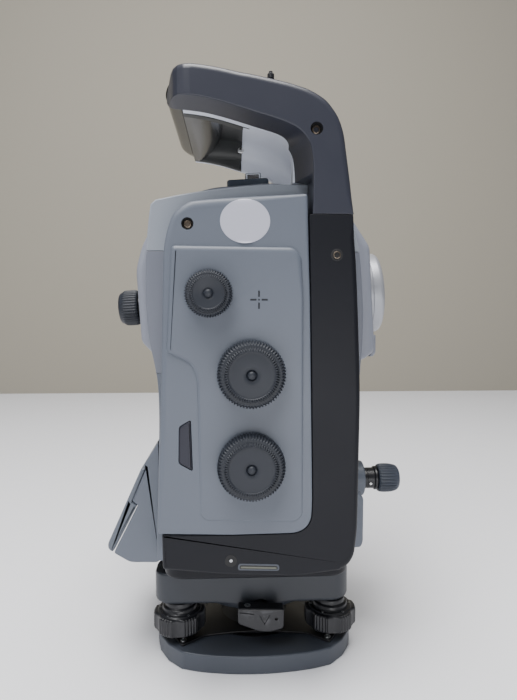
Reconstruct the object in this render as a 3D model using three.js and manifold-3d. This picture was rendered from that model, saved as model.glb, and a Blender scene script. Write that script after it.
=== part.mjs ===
// Surveying total station on its tribrach, as an assembly of separate pieces.
// Units: millimetres. +Z up. The underside of the tribrach base plate is Z = 0.
// -Y is the side with the drive knobs, -X the eyepiece side, +X the objective side.
import * as THREE from 'three';
import { mergeVertices } from 'three/addons/utils/BufferGeometryUtils.js';
import Module from 'manifold-3d';

const wasm = await Module();
wasm.setup();

// ---- driving dimensions ------------------------------------------------------
const AXIS_X = -5.6;          // vertical axis, measured from the middle of the whole object
const AXIS_Y = 5.6;
const TRUNNION_Z = 251;       // height of the trunnion (tilting) axis
const TELESCOPE_PITCH = 3.6;  // degrees nose-up at rest
const SHELL_OUT = 88;         // |Y| of the outer faces of covers, frames and handle arms
const SHELL_IN = 62.1;        // |Y| where covers, frames and arms begin
const STD_OUT = 61.7;         // |Y| outer face of the standards
const STD_IN = 48.3;          // |Y| inner face of the standards
const YOKE_IN = 47.9;         // |Y| of everything between the standards
const TEL_HALF = 45.9;        // half width of the telescope housing
const SCREW_R = 62.2;         // radius of the footscrew circle
const PLATE_T = 12.5;         // base plate thickness
const KNOB_FOOT_R = 18.3;     // footscrew knob radius
const DRIVE_KNOB_R = 19.6;    // vertical and horizontal drive knobs
const FOCUS_KNOB_R = 13.6;    // focus knob
const SOCKET_R = 7.94;        // 5/8 inch tripod thread, radius
const SEAT_Z = 54.6;          // seat of the instrument in the tribrach
const HEAD_TOP = 62;          // top rim of the tribrach head
const OBJ_R = 29.2;           // objective ring radius
const PLUM_Z = 114.5;          // height of the optical plummet axis
const FOCUS_POS = [-29.2, 252.5];
const VERT_POS = [-4.6, 205.8];
const HORZ_POS = [-4.7, 151.0];
const FINENESS = 0.5;          // scales the number of sides of every turned piece

// ---- materials ----------------------------------------------------------------
const mat = (color, roughness, metalness = 0) =>
  new THREE.MeshStandardMaterial({ color, roughness, metalness, flatShading: true });
const M = {
  dark: mat(0x4a4f57, 0.5),
  light: mat(0x8e979c, 0.5),
  panel: mat(0x838c92, 0.5),
  rubber: mat(0x3c4247, 0.75),
  black: mat(0x1d1f22, 0.45),
  grip: mat(0x5b5d58, 0.35),
  silver: mat(0xc4c8ca, 0.3, 0.9),
  steel: mat(0x9ea3a6, 0.3, 1),
  brass: mat(0xb39a5c, 0.35, 1),
  glass: mat(0x5b6f8a, 0.05, 0),
  board: mat(0x2f6b45, 0.6),
  battery: mat(0x2a2c30, 0.6),
  screen: mat(0x7f8f86, 0.2),
};

// ---- helpers --------------------------------------------------------------------
const rad = (d) => (d * Math.PI) / 180;

// closed three.js geometry to a solid that can be joined and cut
function solid(geometry) {
  const g = geometry.index ? geometry.toNonIndexed() : geometry;
  for (const n of Object.keys(g.attributes)) if (n !== 'position') g.deleteAttribute(n);
  const m = mergeVertices(g, 1e-4);
  const p = m.attributes.position.array;
  const idx = m.index.array;
  const tri = [];
  let vol = 0;
  for (let i = 0; i < idx.length; i += 3) {
    const a = idx[i], b = idx[i + 1], c = idx[i + 2];
    if (a === b || b === c || a === c) continue;
    tri.push(a, b, c);
    const [ax, ay, az, bx, by, bz, cx, cy, cz] = [a, b, c].flatMap((k) => [p[3 * k], p[3 * k + 1], p[3 * k + 2]]);
    vol += ax * (by * cz - bz * cy) + ay * (bz * cx - bx * cz) + az * (bx * cy - by * cx);
  }
  if (vol < 0) for (let i = 0; i < tri.length; i += 3) [tri[i], tri[i + 1]] = [tri[i + 1], tri[i]];
  return new wasm.Manifold(new wasm.Mesh({ numProp: 3, vertProperties: new Float32Array(p), triVerts: new Uint32Array(tri) }));
}

const union = (...s) => s.reduce((a, b) => a.add(b));
const cut = (s, ...t) => t.reduce((a, b) => a.subtract(b), s);

function prism(points, depth, bevel) {
  const shape = new THREE.Shape(points.map(([x, y]) => new THREE.Vector2(x, y)));
  const o = bevel > 0
    ? { depth: depth - 2 * bevel, bevelEnabled: true, bevelThickness: bevel, bevelSize: bevel, bevelOffset: -bevel, bevelSegments: 1, steps: 1, curveSegments: 8 }
    : { depth, bevelEnabled: false, steps: 1, curveSegments: 8 };
  const g = new THREE.ExtrudeGeometry(shape, o);
  if (bevel > 0) g.translate(0, 0, bevel);
  return g;
}
// outline in (x, z), between two Y planes
function alongY(points, y0, y1, bevel = 0) {
  const g = prism(points, y1 - y0, bevel);
  g.rotateX(Math.PI / 2);
  g.translate(0, y1, 0);
  return solid(g);
}
// outline in (x, y), between two Z planes
function alongZ(points, z0, z1, bevel = 0) {
  const g = prism(points, z1 - z0, bevel);
  g.translate(0, 0, z0);
  return solid(g);
}
// outline in (y, z), between two X planes
function alongX(points, x0, x1, bevel = 0) {
  const g = prism(points, x1 - x0, bevel);
  g.applyMatrix4(new THREE.Matrix4().makeBasis(new THREE.Vector3(0, 1, 0), new THREE.Vector3(0, 0, 1), new THREE.Vector3(1, 0, 0)));
  g.translate(x0, 0, 0);
  return solid(g);
}
const rect = (a0, a1, b0, b1) => [[a0, b0], [a1, b0], [a1, b1], [a0, b1]];
const box = (x0, x1, y0, y1, z0, z1, bevel = 0) => alongZ(rect(x0, x1, y0, y1), z0, z1, bevel);
const circle = (cx, cy, r, n = 24) => Array.from({ length: n }, (_, i) => [cx + r * Math.cos((2 * Math.PI * i) / n), cy + r * Math.sin((2 * Math.PI * i) / n)]);
// corners rounded with a short curve
function soft(points, r, n = 3) {
  const out = [];
  points.forEach((p, i) => {
    const a = points[(i + points.length - 1) % points.length], b = points[(i + 1) % points.length];
    const rr = Array.isArray(r) ? r[i] : r;
    const la = Math.hypot(a[0] - p[0], a[1] - p[1]), lb = Math.hypot(b[0] - p[0], b[1] - p[1]);
    const d = Math.min(rr, la * 0.48, lb * 0.48);
    if (d < 0.05) { out.push(p); return; }
    const s = [p[0] + ((a[0] - p[0]) * d) / la, p[1] + ((a[1] - p[1]) * d) / la];
    const e = [p[0] + ((b[0] - p[0]) * d) / lb, p[1] + ((b[1] - p[1]) * d) / lb];
    for (let k = 0; k <= n; k++) {
      const t = k / n, u = 1 - t;
      out.push([u * u * s[0] + 2 * u * t * p[0] + t * t * e[0], u * u * s[1] + 2 * u * t * p[1] + t * t * e[1]]);
    }
  });
  return out;
}
// turned piece: profile of [radius, height]; axis 'z', 'y' or 'x', moved to at
function turned(profile, axis, at = [0, 0, 0], n = 32) {
  const sides = Math.max(10, Math.round(n * FINENESS));
  const g = new THREE.LatheGeometry(profile.map(([r, h]) => new THREE.Vector2(r, h)), sides);
  if (axis === 'z') g.rotateX(Math.PI / 2);
  if (axis === 'x') g.rotateZ(-Math.PI / 2);
  g.translate(...at);
  return solid(g);
}
const ring = (r0, r1, h0, h1, axis, at, n) => turned([[r0, h0], [r1, h0], [r1, h1], [r0, h1], [r0, h0]], axis, at, n);
const disc = (r, h0, h1, axis, at, n) => turned([[0, h0], [r, h0], [r, h1], [0, h1]], axis, at, n);

const root = new THREE.Group();
const tribrach = new THREE.Group();
const alidade = new THREE.Group();
const telescope = new THREE.Group();
root.position.set(AXIS_X, AXIS_Y, 0);
telescope.position.set(0, 0, TRUNNION_Z);
telescope.rotation.y = -rad(TELESCOPE_PITCH);
root.add(tribrach, alidade, telescope);

function part(parent, name, s, material) {
  const m = s.getMesh();
  const g = new THREE.BufferGeometry();
  const n = m.numProp, v = m.vertProperties, pos = new Float32Array((v.length / n) * 3);
  for (let i = 0; i < v.length / n; i++) { pos[3 * i] = v[n * i]; pos[3 * i + 1] = v[n * i + 1]; pos[3 * i + 2] = v[n * i + 2]; }
  g.setAttribute('position', new THREE.BufferAttribute(pos, 3));
  g.setIndex(new THREE.BufferAttribute(new Uint32Array(m.triVerts), 1));
  g.computeVertexNormals();
  const mesh = new THREE.Mesh(g, material);
  mesh.name = name;
  parent.add(mesh);
}

// ================================ tribrach =========================================
const screwAngles = { left: 210, right: 330, rear: 90 };
const polar = (r, deg) => [r * Math.cos(rad(deg)), r * Math.sin(rad(deg))];
// base plate outline: three bowed sides and three cut corners
const plateOutline = [];
for (const a of [270, 30, 150]) {
  for (const [t, r] of [[-44.2, 73.1], [-33, 67.4], [-17, 62], [0, 60.2], [17, 62], [33, 67.4], [44.2, 73.1], [54.6, 74.6], [65.4, 74.6]]) plateOutline.push(polar(r, a + t));
}
const screwXY = Object.values(screwAngles).map((a) => polar(SCREW_R, a));
part(tribrach, 'base_plate', cut(alongZ(plateOutline, 0, PLATE_T, 1.0), disc(12.3, -1, PLATE_T + 1, 'z', [0, 0, 0], 28),
  ring(30, 37.6, 10.7, PLATE_T + 1, 'z', [0, 0, 0], 36), ...screwXY.map(([x, y]) => disc(5.4, 7, PLATE_T + 1, 'z', [x, y, 0], 16))), M.dark);
part(tribrach, 'tripod_thread_bush', ring(SOCKET_R, 11.7, 0.4, PLATE_T - 0.3, 'z', [0, 0, 0], 28), M.brass);
const springOutline = [];
for (const a of [90, 210, 330]) for (const [t, r] of [[-60, 33], [-38, 36], [-15, 52], [-13.2, 70], [13.2, 70], [15, 52], [38, 36]]) springOutline.push(polar(r, a + t));
part(tribrach, 'spring_plate', cut(alongZ(springOutline, 12.9, 14.2), disc(25, 12, 15, 'z', [0, 0, 0], 28), ...screwXY.map(([x, y]) => disc(6.6, 12, 15, 'z', [x, y, 0], 16))), M.black);

// head: three bosses over the footscrews and a round belly between them
const hull3 = [];
for (const a of [90, 210, 330]) for (const t of [-58, -30, 0, 30, 58]) {
  const [cx, cy] = polar(SCREW_R, a);
  const [dx, dy] = polar(12, a + t);
  hull3.push([cx + dx, cy + dy]);
}
const belly = turned([[0, 35.2], [42, 35.2], [47.4, 39], [48, 44], [48, HEAD_TOP], [0, HEAD_TOP]], 'z', [0, 0, 0], 36);
const leftPad = alongZ([[-58, -43.2], [-64.5, -43], [-70.6, -37], [-70.8, -22], [-64, -12], [-56, -14]], 40.4, HEAD_TOP - 0.4, 1);
let head = union(alongZ(hull3, 40, HEAD_TOP, 1), belly, leftPad, disc(13, -51, -38, 'y', [3, 0, 44], 24));
head = cut(head, disc(36.6, SEAT_Z, HEAD_TOP + 1, 'z', [0, 0, 0], 36), disc(33.8, 45.4, SEAT_Z + 1, 'z', [0, 0, 0], 36),
  disc(20, 30, 46, 'z', [0, 0, 0], 28), disc(4.9, -52, -30, 'y', [3, 0, 41], 16), ...screwXY.map(([x, y]) => disc(7, 39, 57, 'z', [x, y, 0], 18)));
part(tribrach, 'tribrach_head', head, M.dark);
// circular level beside the rear left flank
const lvl = [-52.6, 30.4];
part(tribrach, 'circular_level', turned([[0, 43], [10.4, 43], [11.4, 44.4], [11.4, 62], [9.2, 63.2], [8.2, 63.2], [8.2, 61.6], [0, 61.6]], 'z', [lvl[0] - 3.2, lvl[1] + 1.8, 0], 24), M.silver);

for (const [n, a] of Object.entries(screwAngles)) {
  const [x, y] = polar(SCREW_R, a);
  // knob rim with nine hollows
  const rim = [];
  for (let i = 0; i < 27; i++) {
    const t = (i / 27) * 2 * Math.PI, r = KNOB_FOOT_R - (i % 3 === 0 ? 1.5 : 0);
    rim.push([x + r * Math.cos(t), y + r * Math.sin(t)]);
  }
  const knob = alongZ(rim, 19.2, 31.6, 0);
  const post = turned([[0, 7.4], [3.6, 7.8], [4.8, 10], [4.8, 15.6], [12, 17.2], [15, 19.4], [15, 32.6], [12, 33.4], [12, 35.6], [10.2, 35.8], [10.2, 39.4], [6.1, 39.5], [6.1, 56], [0, 56.4]], 'z', [x, y, 0], 28);
  part(tribrach, `footscrew_${n}`, union(knob, post), M.black);
}

// lock: knob outside, spindle through the head wall
part(tribrach, 'lock_knob', union(
  alongY(soft([[-12.6, 46.4], [-12.8, 35], [3, 29], [9, 29], [18, 31.2], [18.2, 45.2]], 1.4, 2), -60.4, -51.6, 0.8),
  disc(4.1, -52, -36.2, 'y', [3, 0, 41], 18)), M.black);
// clamp ring with slots for the three studs
const slots = [];
for (const a of [30, 150, 270]) for (const t of [-1.5, 4, 9, 13.5]) slots.push(disc(3.1, 40, 60, 'z', [...polar(28.6, a + t), 0], 20));
part(tribrach, 'clamp_ring', cut(ring(24.6, 32.8, 46, 53.6, 'z', [0, 0, 0], 36), ...slots), M.steel);

// instrument foot: flange with three studs, stub spindle, circle and drive ring
part(tribrach, 'instrument_flange', cut(union(disc(35.4, SEAT_Z + 0.4, 61.8, 'z', [0, 0, 0], 36), disc(22, 61, 65.6, 'z', [0, 0, 0], 28),
  ...[30, 150, 270].map((a) => disc(2.4, 47, 56, 'z', [...polar(28.6, a), 0], 20))), disc(8, 40, 70, 'z', [0, 0, 0], 20)), M.steel);
part(tribrach, 'vertical_spindle', ring(7, 12, 66, 118, 'z', [0, 0, 0], 28), M.steel);
part(tribrach, 'horizontal_circle', ring(12.6, 38, 104, 105.8, 'z', [0, 0, 0], 40), M.glass);
part(tribrach, 'horizontal_drive_ring', ring(12.6, 40.6, 86, 96, 'z', [0, 0, 0], 36), M.brass);

// ================================ alidade ============================================
part(alidade, 'alidade_base', cut(alongZ(soft([[-62, -61.5], [62, -61.5], [62, 61.5], [-62, 61.5]], 16, 3), 66.3, 79.9, 1.2), disc(22.5, 60, 90, 'z', [0, 0, 0], 28)), M.dark);
part(alidade, 'vertical_axis_bearing', ring(12.6, 21.6, 67, 79.6, 'z', [0, 0, 0], 28), M.steel);

const housingOutline = [[-63.9, 80.3], [63.9, 80.3], [63.9, 158], [56, 158], [48, 150], [35, 146], [-35, 146], [-48, 150], [-56, 158], [-63.9, 158]];
part(alidade, 'lower_housing', cut(alongY(housingOutline, -YOKE_IN, YOKE_IN, 1),
  disc(42.5, 79, 112, 'z', [0, 0, 0], 36), disc(13, 110, 121, 'z', [0, 0, 0], 24), disc(7.2, 20, 70, 'x', [0, 0, PLUM_Z], 20)), M.light);
const face2 = union(alongY([[64.3, 80.3], [71.8, 80.3], [73.6, 84], [73.6, 115], [71.6, 117.4], [68.6, 119.8], [67.6, 156], [64.3, 157.8]], -YOKE_IN, YOKE_IN, 1), disc(13.2, 66, 83.6, 'x', [0, 0, PLUM_Z], 28));
part(alidade, 'face2_housing', cut(face2, disc(7.2, 60, 90, 'x', [0, 0, PLUM_Z], 20)), M.light);
part(alidade, 'face2_display', box(68.9, 70.4, -38, 12, 131, 153, 0.4), M.screen);
part(alidade, 'face2_key', box(68.9, 71.2, 18, 30, 136, 148, 0.6), M.rubber);

part(alidade, 'control_bracket', alongY([[-64.3, 157], [-75.6, 139.6], [-73.4, 138.2], [-83.5, 115.75], [-79.6, 112.35], [-94.7, 82.95], [-96.2, 79.7], [-85.3, 73], [-66, 72.6], [-64.3, 74]], -YOKE_IN, YOKE_IN, 0), M.light);
part(alidade, 'bracket_panel', alongY([[-77, 138], [-100.4, 85.8], [-99.9, 82.3], [-96.9, 80.1], [-95.15, 82.95], [-80.1, 112.2], [-84.1, 115.7], [-74.1, 137.4]], -YOKE_IN, YOKE_IN, 0), M.light);
part(alidade, 'bracket_release_key', box(-82, -70, -9, 9, 69.6, 72.3, 0.6), M.black);

// standards: outline seen from the knob side
const stdOutline = [[-65.4, 80.3], [-65.2, 100], [-63.8, 140], [-62.9, 173], [-63.4, 195], [-65.4, 208.6], [-68.7, 225.5], [-70, 243.3], [-70.4, 256], [-69.7, 276.5], [-68.7, 293.3], [-66.7, 309],
  [-63.5, 312], [-42, 316.4], [-17, 320], [2, 321.5], [21, 322.2], [44, 321], [54, 315], [60, 304], [62.8, 292.3], [66.1, 275.3], [68.4, 244], [68.2, 222], [66.6, 200], [63.4, 170], [62.6, 100], [62, 80.3]];
const boreY = (r, n = 24) => disc(r, -100, 100, 'y', [0, 0, TRUNNION_Z], n);
part(alidade, 'near_standard', cut(alongY(stdOutline, -STD_OUT, -STD_IN, 1), boreY(17)), M.light);
part(alidade, 'far_standard', cut(alongY(stdOutline, STD_IN, STD_OUT, 1), boreY(17)), M.light);
part(alidade, 'trunnion_bearing_near', ring(12.6, 16.1, -61, -49, 'y', [0, 0, TRUNNION_Z], 24), M.steel);
part(alidade, 'trunnion_bearing_far', ring(12.6, 16.1, 49, 61, 'y', [0, 0, TRUNNION_Z], 24), M.steel);

// outer covers, light grey
const coverOutline = [[-60.6, 109.3], [-59.8, 147], [-58.6, 178], [-56.6, 249], [-55.7, 278], [-54.4, 286.5], [-50.9, 298], [-45.6, 303.6], [-39.9, 306.5], [-28.4, 307.8], [-5.2, 309.4], [28.7, 311.2], [30.3, 249], [31.3, 189], [32.2, 128], [31.7, 117], [28.7, 111.5], [22.5, 108.5], [-16.9, 108]].reverse();
const inner = coverOutline.map(([x, z]) => [-13.5 + (x + 13.5) * 0.9, 209 + (z - 209) * 0.955]);
const padOutline = [[-54.4, 218.4], [-39.4, 211.4], [-36.6, 201.9], [-35.4, 120.5], [-32.4, 117.2], [22.6, 115.4], [26.7, 119.5], [26, 249], [25.2, 274.6], [21.1, 279.8], [-51.5, 280.6]].map(([x, z]) => [x, z]);
let nearCover = union(alongY(coverOutline, -SHELL_OUT, -SHELL_IN, 1.2), alongY(padOutline, -89, -87, 0));
nearCover = cut(nearCover, alongY(inner, -84.6, -60, 0), disc(26.2, -69, -60, 'y', [0, 0, TRUNNION_Z], 28));
for (const [x, z] of [FOCUS_POS, VERT_POS, HORZ_POS]) nearCover = cut(nearCover, disc(4.7, -95, -80, 'y', [x, 0, z], 18));
nearCover = cut(nearCover, alongY(soft([[-48, 151.5], [-39.2, 146.2], [-40.2, 178.8], [-47.6, 174.4]], 1.2, 2), -95, -83, 0), disc(3.6, -95, -85.5, 'y', [-41.6, 0, 293.2], 16));
part(alidade, 'near_cover', nearCover, M.light);
part(alidade, 'trigger_key', union(alongY(soft([[-47.5, 152.4], [-39.7, 147.6], [-40.7, 177.8], [-47.1, 173.6]], 1.2, 2), -89.6, -81.6, 0.5), box(-48.6, -39, -83.4, -81.8, 150, 176)), M.rubber);
part(alidade, 'drive_board', cut(box(-48, 22, -76, -74.4, 128, 238), ...[[-44, 132], [18, 132], [18, 234], [-44, 234]].map(([x, z]) => disc(1.7, -80, -70, 'y', [x, 0, z], 12))), M.board);

let farCover = alongY(coverOutline, SHELL_IN, SHELL_OUT, 1.2);
farCover = cut(farCover, box(-41.4, 21.4, 66, 90, 121, 233), box(-45.4, 25.4, 84.6, 90, 116.6, 239.4), box(-38, 16, 60, 84, 245, 296));
part(alidade, 'far_cover', farCover, M.light);
part(alidade, 'battery', box(-40.4, 20.4, 67, 83.6, 122, 232, 1.5), M.battery);
part(alidade, 'battery_door', cut(union(box(-45, 25, 84.9, 88, 117, 239, 0.8), box(-30, 10, 87, 89.4, 136, 206, 1.0)), box(-19, -1, 86.4, 91, 221.5, 235)), M.panel);
part(alidade, 'door_latch', box(-18.6, -1.4, 86.8, 91.2, 224, 234.6, 0.7), M.black);

// dark outer frames below and beside the covers
const frameOutline = [[-58.1, 86.9], [-17, 82.6], [25.4, 81], [51.2, 84.4], [55.7, 87.8], [58.7, 93.4], [60.4, 109.5], [61.2, 189.3], [60.6, 209.8], [59.6, 232.8], [58.6, 255.5], [57.2, 277.7], [55.3, 298.8],
  [29.6, 298.8], [30.75, 249], [31.75, 189], [32.65, 128], [32.15, 116.8], [29, 111], [22.6, 108.02], [-16.9, 107.5], [-58.3, 108.7]];
part(alidade, 'near_frame', cut(alongY(frameOutline, -SHELL_OUT, -SHELL_IN, 1), disc(3.6, -95, -84, 'y', [45.9, 0, 275.3], 16), disc(3.8, -95, -80, 'y', [-16.9, 0, 91.7], 16), box(-13, 12, -90, -84, 85.4, 90.2)), M.dark);
const farFrameOutline = frameOutline.flatMap((p) => (p[1] === 298.8 ? (p[0] > 40 ? [p, [53, 305.6], [48, 309.4], [40, 311]] : [[29.1, 311.4]]) : [p]));
part(alidade, 'far_frame', cut(alongY(farFrameOutline, SHELL_IN, SHELL_OUT, 1), disc(3.6, 84, 95, 'y', [45.9, 0, 275.3], 16)), M.dark);

// carrying handle: thick arm on the knob side, slimmer arm on the far side, liners, closed top and a cross grip
const armOutline = [[31.6, 299.2], [55.6, 299.2], [54.9, 307.2], [53.6, 318.6], [51.2, 335.7], [49.6, 346], [46.6, 354.6], [42.4, 361], [37.6, 365.8], [29.3, 370.4], [20, 373.4], [12.6, 375.2], [-2.3, 378.2], [-12, 379.8], [-22.9, 382], [-33.7, 383.5],
  [-42, 384], [-48.8, 383.2], [-52.2, 380.4], [-54.2, 376], [-55.3, 371], [-54.6, 368.3], [-51.5, 366.6], [-44.8, 366], [-34, 364.8], [-23, 362.5], [-12.1, 359.5], [-2.2, 356.6], [12.8, 352.2], [21.6, 348.4], [26.9, 343.9], [30.4, 337.1], [31.7, 324.6]];
// rounds the handle's near corner as seen from above
const nearPlan = alongZ([[-56.4, -61], [-55.3, -64], [-53.2, -70], [-51.4, -77], [-49.6, -82], [-46.8, -85.6], [-43, -87.6], [-39, -88.2], [70, -88.2], [70, -61]], 280, 400);
// the inner side of the upright tapers back to the light liner
const armTaper = alongZ([[33, -86.5], [33, -62.1], [23, -62.1]], 323, 341);
part(alidade, 'handle_arm_near', cut(union(alongY(armOutline, -SHELL_OUT, -SHELL_IN, 0).intersect(nearPlan), armTaper), disc(3.6, -95, -84, 'y', [33.5, 0, 347.9], 16)), M.dark);
const linerOutline = [[22.6, 322.7], [49.8, 322.7], [48.3, 335], [46.5, 345], [41.2, 351], [38.2, 357.3], [33.7, 362.8], [25.8, 368.2], [12.7, 374.2], [-2.4, 378.5], [-12, 380.2], [-22.9, 381.2], [-34, 381.6], [-46, 381.5],
  [-46, 366.2], [-34, 364.8], [-23, 362.5], [-12.1, 359.5], [-2.2, 356.6], [6, 354.2], [15.5, 351], [20.7, 345.8], [22.4, 337.6]];
const panelOutline = [[-8.4, 358.6], [-8.4, 379.5], [-12, 380.2], [-22.9, 381.2], [-34, 381.6], [-46.4, 381.5], [-46.4, 366.6], [-34, 364.8], [-23, 362.5], [-12.1, 359.5]];
const liner = (a, b, c) => cut(alongY(linerOutline, a, b, 0), box(-50, -8, c[0], c[1], 340, 390));
part(alidade, 'handle_liner_near', liner(-61.8, -48.4, [-56.3, -40]), M.light);
part(alidade, 'handle_liner_far', liner(48.4, 54.4, [40, 52.3]), M.light);
// the far corner of the handle is rounded in plan with a large radius
const farPlan = (() => {
  const c = [[-59, -95], [70, -95], [70, 61.8]];
  for (let i = 0; i <= 6; i++) { const t = rad(90 + 15 * i); c.push([-26 + 30.3 * Math.cos(t), 31.5 + 30.3 * Math.sin(t)]); }
  return alongZ([...c, [-59, 31.5]], 280, 400);
})();
const farArmOutline = [[27, 322.7], [49.8, 322.7], [48.3, 335], [46.5, 345], [43, 352.2], [39.6, 358.5], [35, 364.3], [26.8, 369.8], [13, 375.8], [-2.2, 380.1], [-12, 381.8], [-22.9, 382.8], [-34, 383.2], [-46, 383.1],
  [-46, 370.4], [-34, 369], [-23, 366.6], [-12.1, 363.6], [-2.2, 360.7], [8, 357.8], [18.5, 354.4], [24.5, 348], [26.6, 339]];
const topOutline = [[-46.3, 381.9], [-34, 382], [-22.9, 381.6], [-12, 380.6], [-2.3, 378.9], [12.8, 374.6], [26, 368.6], [34, 363.2], [38.6, 357.6], [41.6, 351.4], [45.8, 353.2], [43, 359.6], [37.6, 366.2], [29.3, 371.9], [12.8, 378.6],
  [-2.3, 382.9], [-12, 384.6], [-22.9, 385.6], [-34, 385.9], [-46.3, 385.8]];
part(alidade, 'handle_top', union(alongY(topOutline, -61.7, STD_OUT, 0), alongY(farArmOutline, 54.7, STD_OUT, 0)).intersect(farPlan), M.dark);
part(alidade, 'handle_grip_outer', alongY([[-46.9, 385.4], [-51.5, 384], [-55.2, 380], [-56.3, 374], [-53.8, 370.2], [-46.9, 367.2]], -61.7, 61.7, 0).intersect(farPlan), M.grip);
part(alidade, 'handle_grip_inner', union(alongY([[-46.5, 381.5], [-46.5, 366.9], [-41, 366.2], [-37, 366.9], [-33, 368.6], [-28.5, 371.5], [-24.5, 375.2], [-22.4, 380.9], [-38, 381.5]], -55.9, 34, 0),
  alongY([[-46.5, 381.5], [-46.5, 366.9], [-41, 366.2], [-37, 366.9], [-34.4, 369.5], [-33, 377], [-34, 381.5]], 33, 52, 0),
  alongY(panelOutline, -55.9, -48.4, 0), alongY(panelOutline, 48.4, 52, 0)), M.grip);
part(alidade, 'antenna_socket', disc(2.1, 376.8, 384.8, 'z', [7.6, -75, 0], 12), M.steel);

// plummet
part(alidade, 'plummet_tube', turned([[4, 24], [6.6, 24], [6.6, 83.9], [7.8, 83.9], [8, 85], [8, 92.2], [9, 92.6], [9, 94.4], [5, 94.4], [5, 90], [4, 90], [4, 24]], 'x', [0, 0, PLUM_Z], 24), M.black);
part(alidade, 'plummet_eyepiece', turned([[3.2, 94.8], [9.4, 94.8], [10.6, 96.2], [10.9, 99], [10.8, 105], [10, 108.8], [8.6, 110.8], [6.8, 111.6], [5, 111.6], [3.2, 108], [3.2, 94.8]], 'x', [0, 0, PLUM_Z], 28), M.rubber);

// knobs on the near cover: rim, face with a raised centre, stem into the cover
function driveKnob(name, [x, z], r, front) {
  const k = turned([[0, -80.6], [4.2, -80.6], [4.2, -89.4], [r * 0.8, -89.4], [r - 0.6, -90.2], [r, -91.4], [r, front + 3.2], [r - 1.4, front + 1.2], [r - 4, front], [r - 6, front + 0.9], [4.4, front + 0.9], [3.4, front], [0, front]].reverse(), 'y', [x, 0, z], 36);
  part(alidade, name, k, M.rubber);
}
driveKnob('focus_knob', FOCUS_POS, FOCUS_KNOB_R, -100.4);
driveKnob('vertical_drive_knob', VERT_POS, DRIVE_KNOB_R, -102.4);
driveKnob('horizontal_drive_knob', HORZ_POS, DRIVE_KNOB_R, -102.4);

// ================================ telescope ===========================================
// local frame: origin on the trunnion axis, +X towards the object sighted
const telOutline = [[-78, -24], [-66, -38], [-40, -46], [38, -50], [71, -46], [78.8, -40], [78.8, 30], [66, 52], [46, 68], [20, 75.8], [-30, 74.6], [-56, 62], [-72, 42], [-78, 24]];
part(telescope, 'telescope_body', cut(alongY(telOutline, -TEL_HALF, TEL_HALF, 2), disc(22, -90, 95, 'x', [0, 0, 0], 28)), M.light);
part(telescope, 'objective_ring', turned([[22, 79.2], [OBJ_R, 79.2], [OBJ_R + 0.3, 82.4], [OBJ_R, 89.4], [27.6, 91.8], [24.2, 91.8], [22.8, 89.8], [22, 86.4], [22, 79.2]], 'x', [0, 0, 0], 36), M.silver);
part(telescope, 'objective_lens', turned([[0, 74.4], [20.8, 75.4], [20.8, 79], [14, 81], [0, 81.8]], 'x', [0, 0, 0], 28), M.glass);
part(telescope, 'tracker_window', alongY([[79.2, -45.8], [82, -45.8], [83.8, -43], [84.6, -30.2], [79.2, -30.2]], -27, 27, 0), M.light);
part(telescope, 'top_sight', union(box(-14.2, 16, -13, 13, 76.2, 86.6, 1), box(-0.6, 11, -4.6, 4.6, 86, 92.4, 0.6)), M.panel);
part(telescope, 'eyepiece_flange', cut(union(alongX(soft([[-21, -22], [21, -22], [21, 25.6], [-21, 25.6]], 9, 3), -80.8, -78.4, 0.5), disc(15.6, -82.6, -80, 'x', [0, 0, 0], 28), disc(9, -84.2, -82, 'x', [0, 0, 0], 24)), disc(6.4, -90, -70, 'x', [0, 0, 0], 20)), M.silver);
part(telescope, 'eyepiece_ring', turned([[6.6, -98.8], [10, -98.8], [12.2, -97.2], [13.1, -94], [13.1, -86.8], [12, -84.6], [6.6, -84.6], [6.6, -98.8]], 'x', [0, 0, 0], 28), M.rubber);
part(telescope, 'eyepiece_lens', disc(6.2, -96.6, -93.8, 'x', [0, 0, 0], 20), M.glass);
part(telescope, 'focusing_lens', turned([[0, 14], [14, 12.6], [19.6, 12.6], [19.6, 25], [14, 25], [0, 22]], 'x', [0, 0, 0], 28), M.glass);
part(telescope, 'trunnion_shaft_near', turned([[0, -67.6], [12, -67.6], [12, -47.8], [15, -47.8], [15, -46.2], [0, -46.2]].reverse(), 'y', [0, 0, 0], 24), M.steel);
part(telescope, 'trunnion_shaft_far', turned([[0, 46.2], [15, 46.2], [15, 47.8], [12, 47.8], [12, 61.6], [0, 61.6]], 'y', [0, 0, 0], 24), M.steel);
part(telescope, 'vertical_circle', ring(12.6, 25, -66.4, -64.6, 'y', [0, 0, 0], 36), M.glass);

export default root;
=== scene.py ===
# Surveying total station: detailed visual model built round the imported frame.
# Helper coordinates are millimetres from the vertical axis at the underside of the base plate.
import math
import bpy, bmesh
from mathutils import Vector, Matrix


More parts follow.
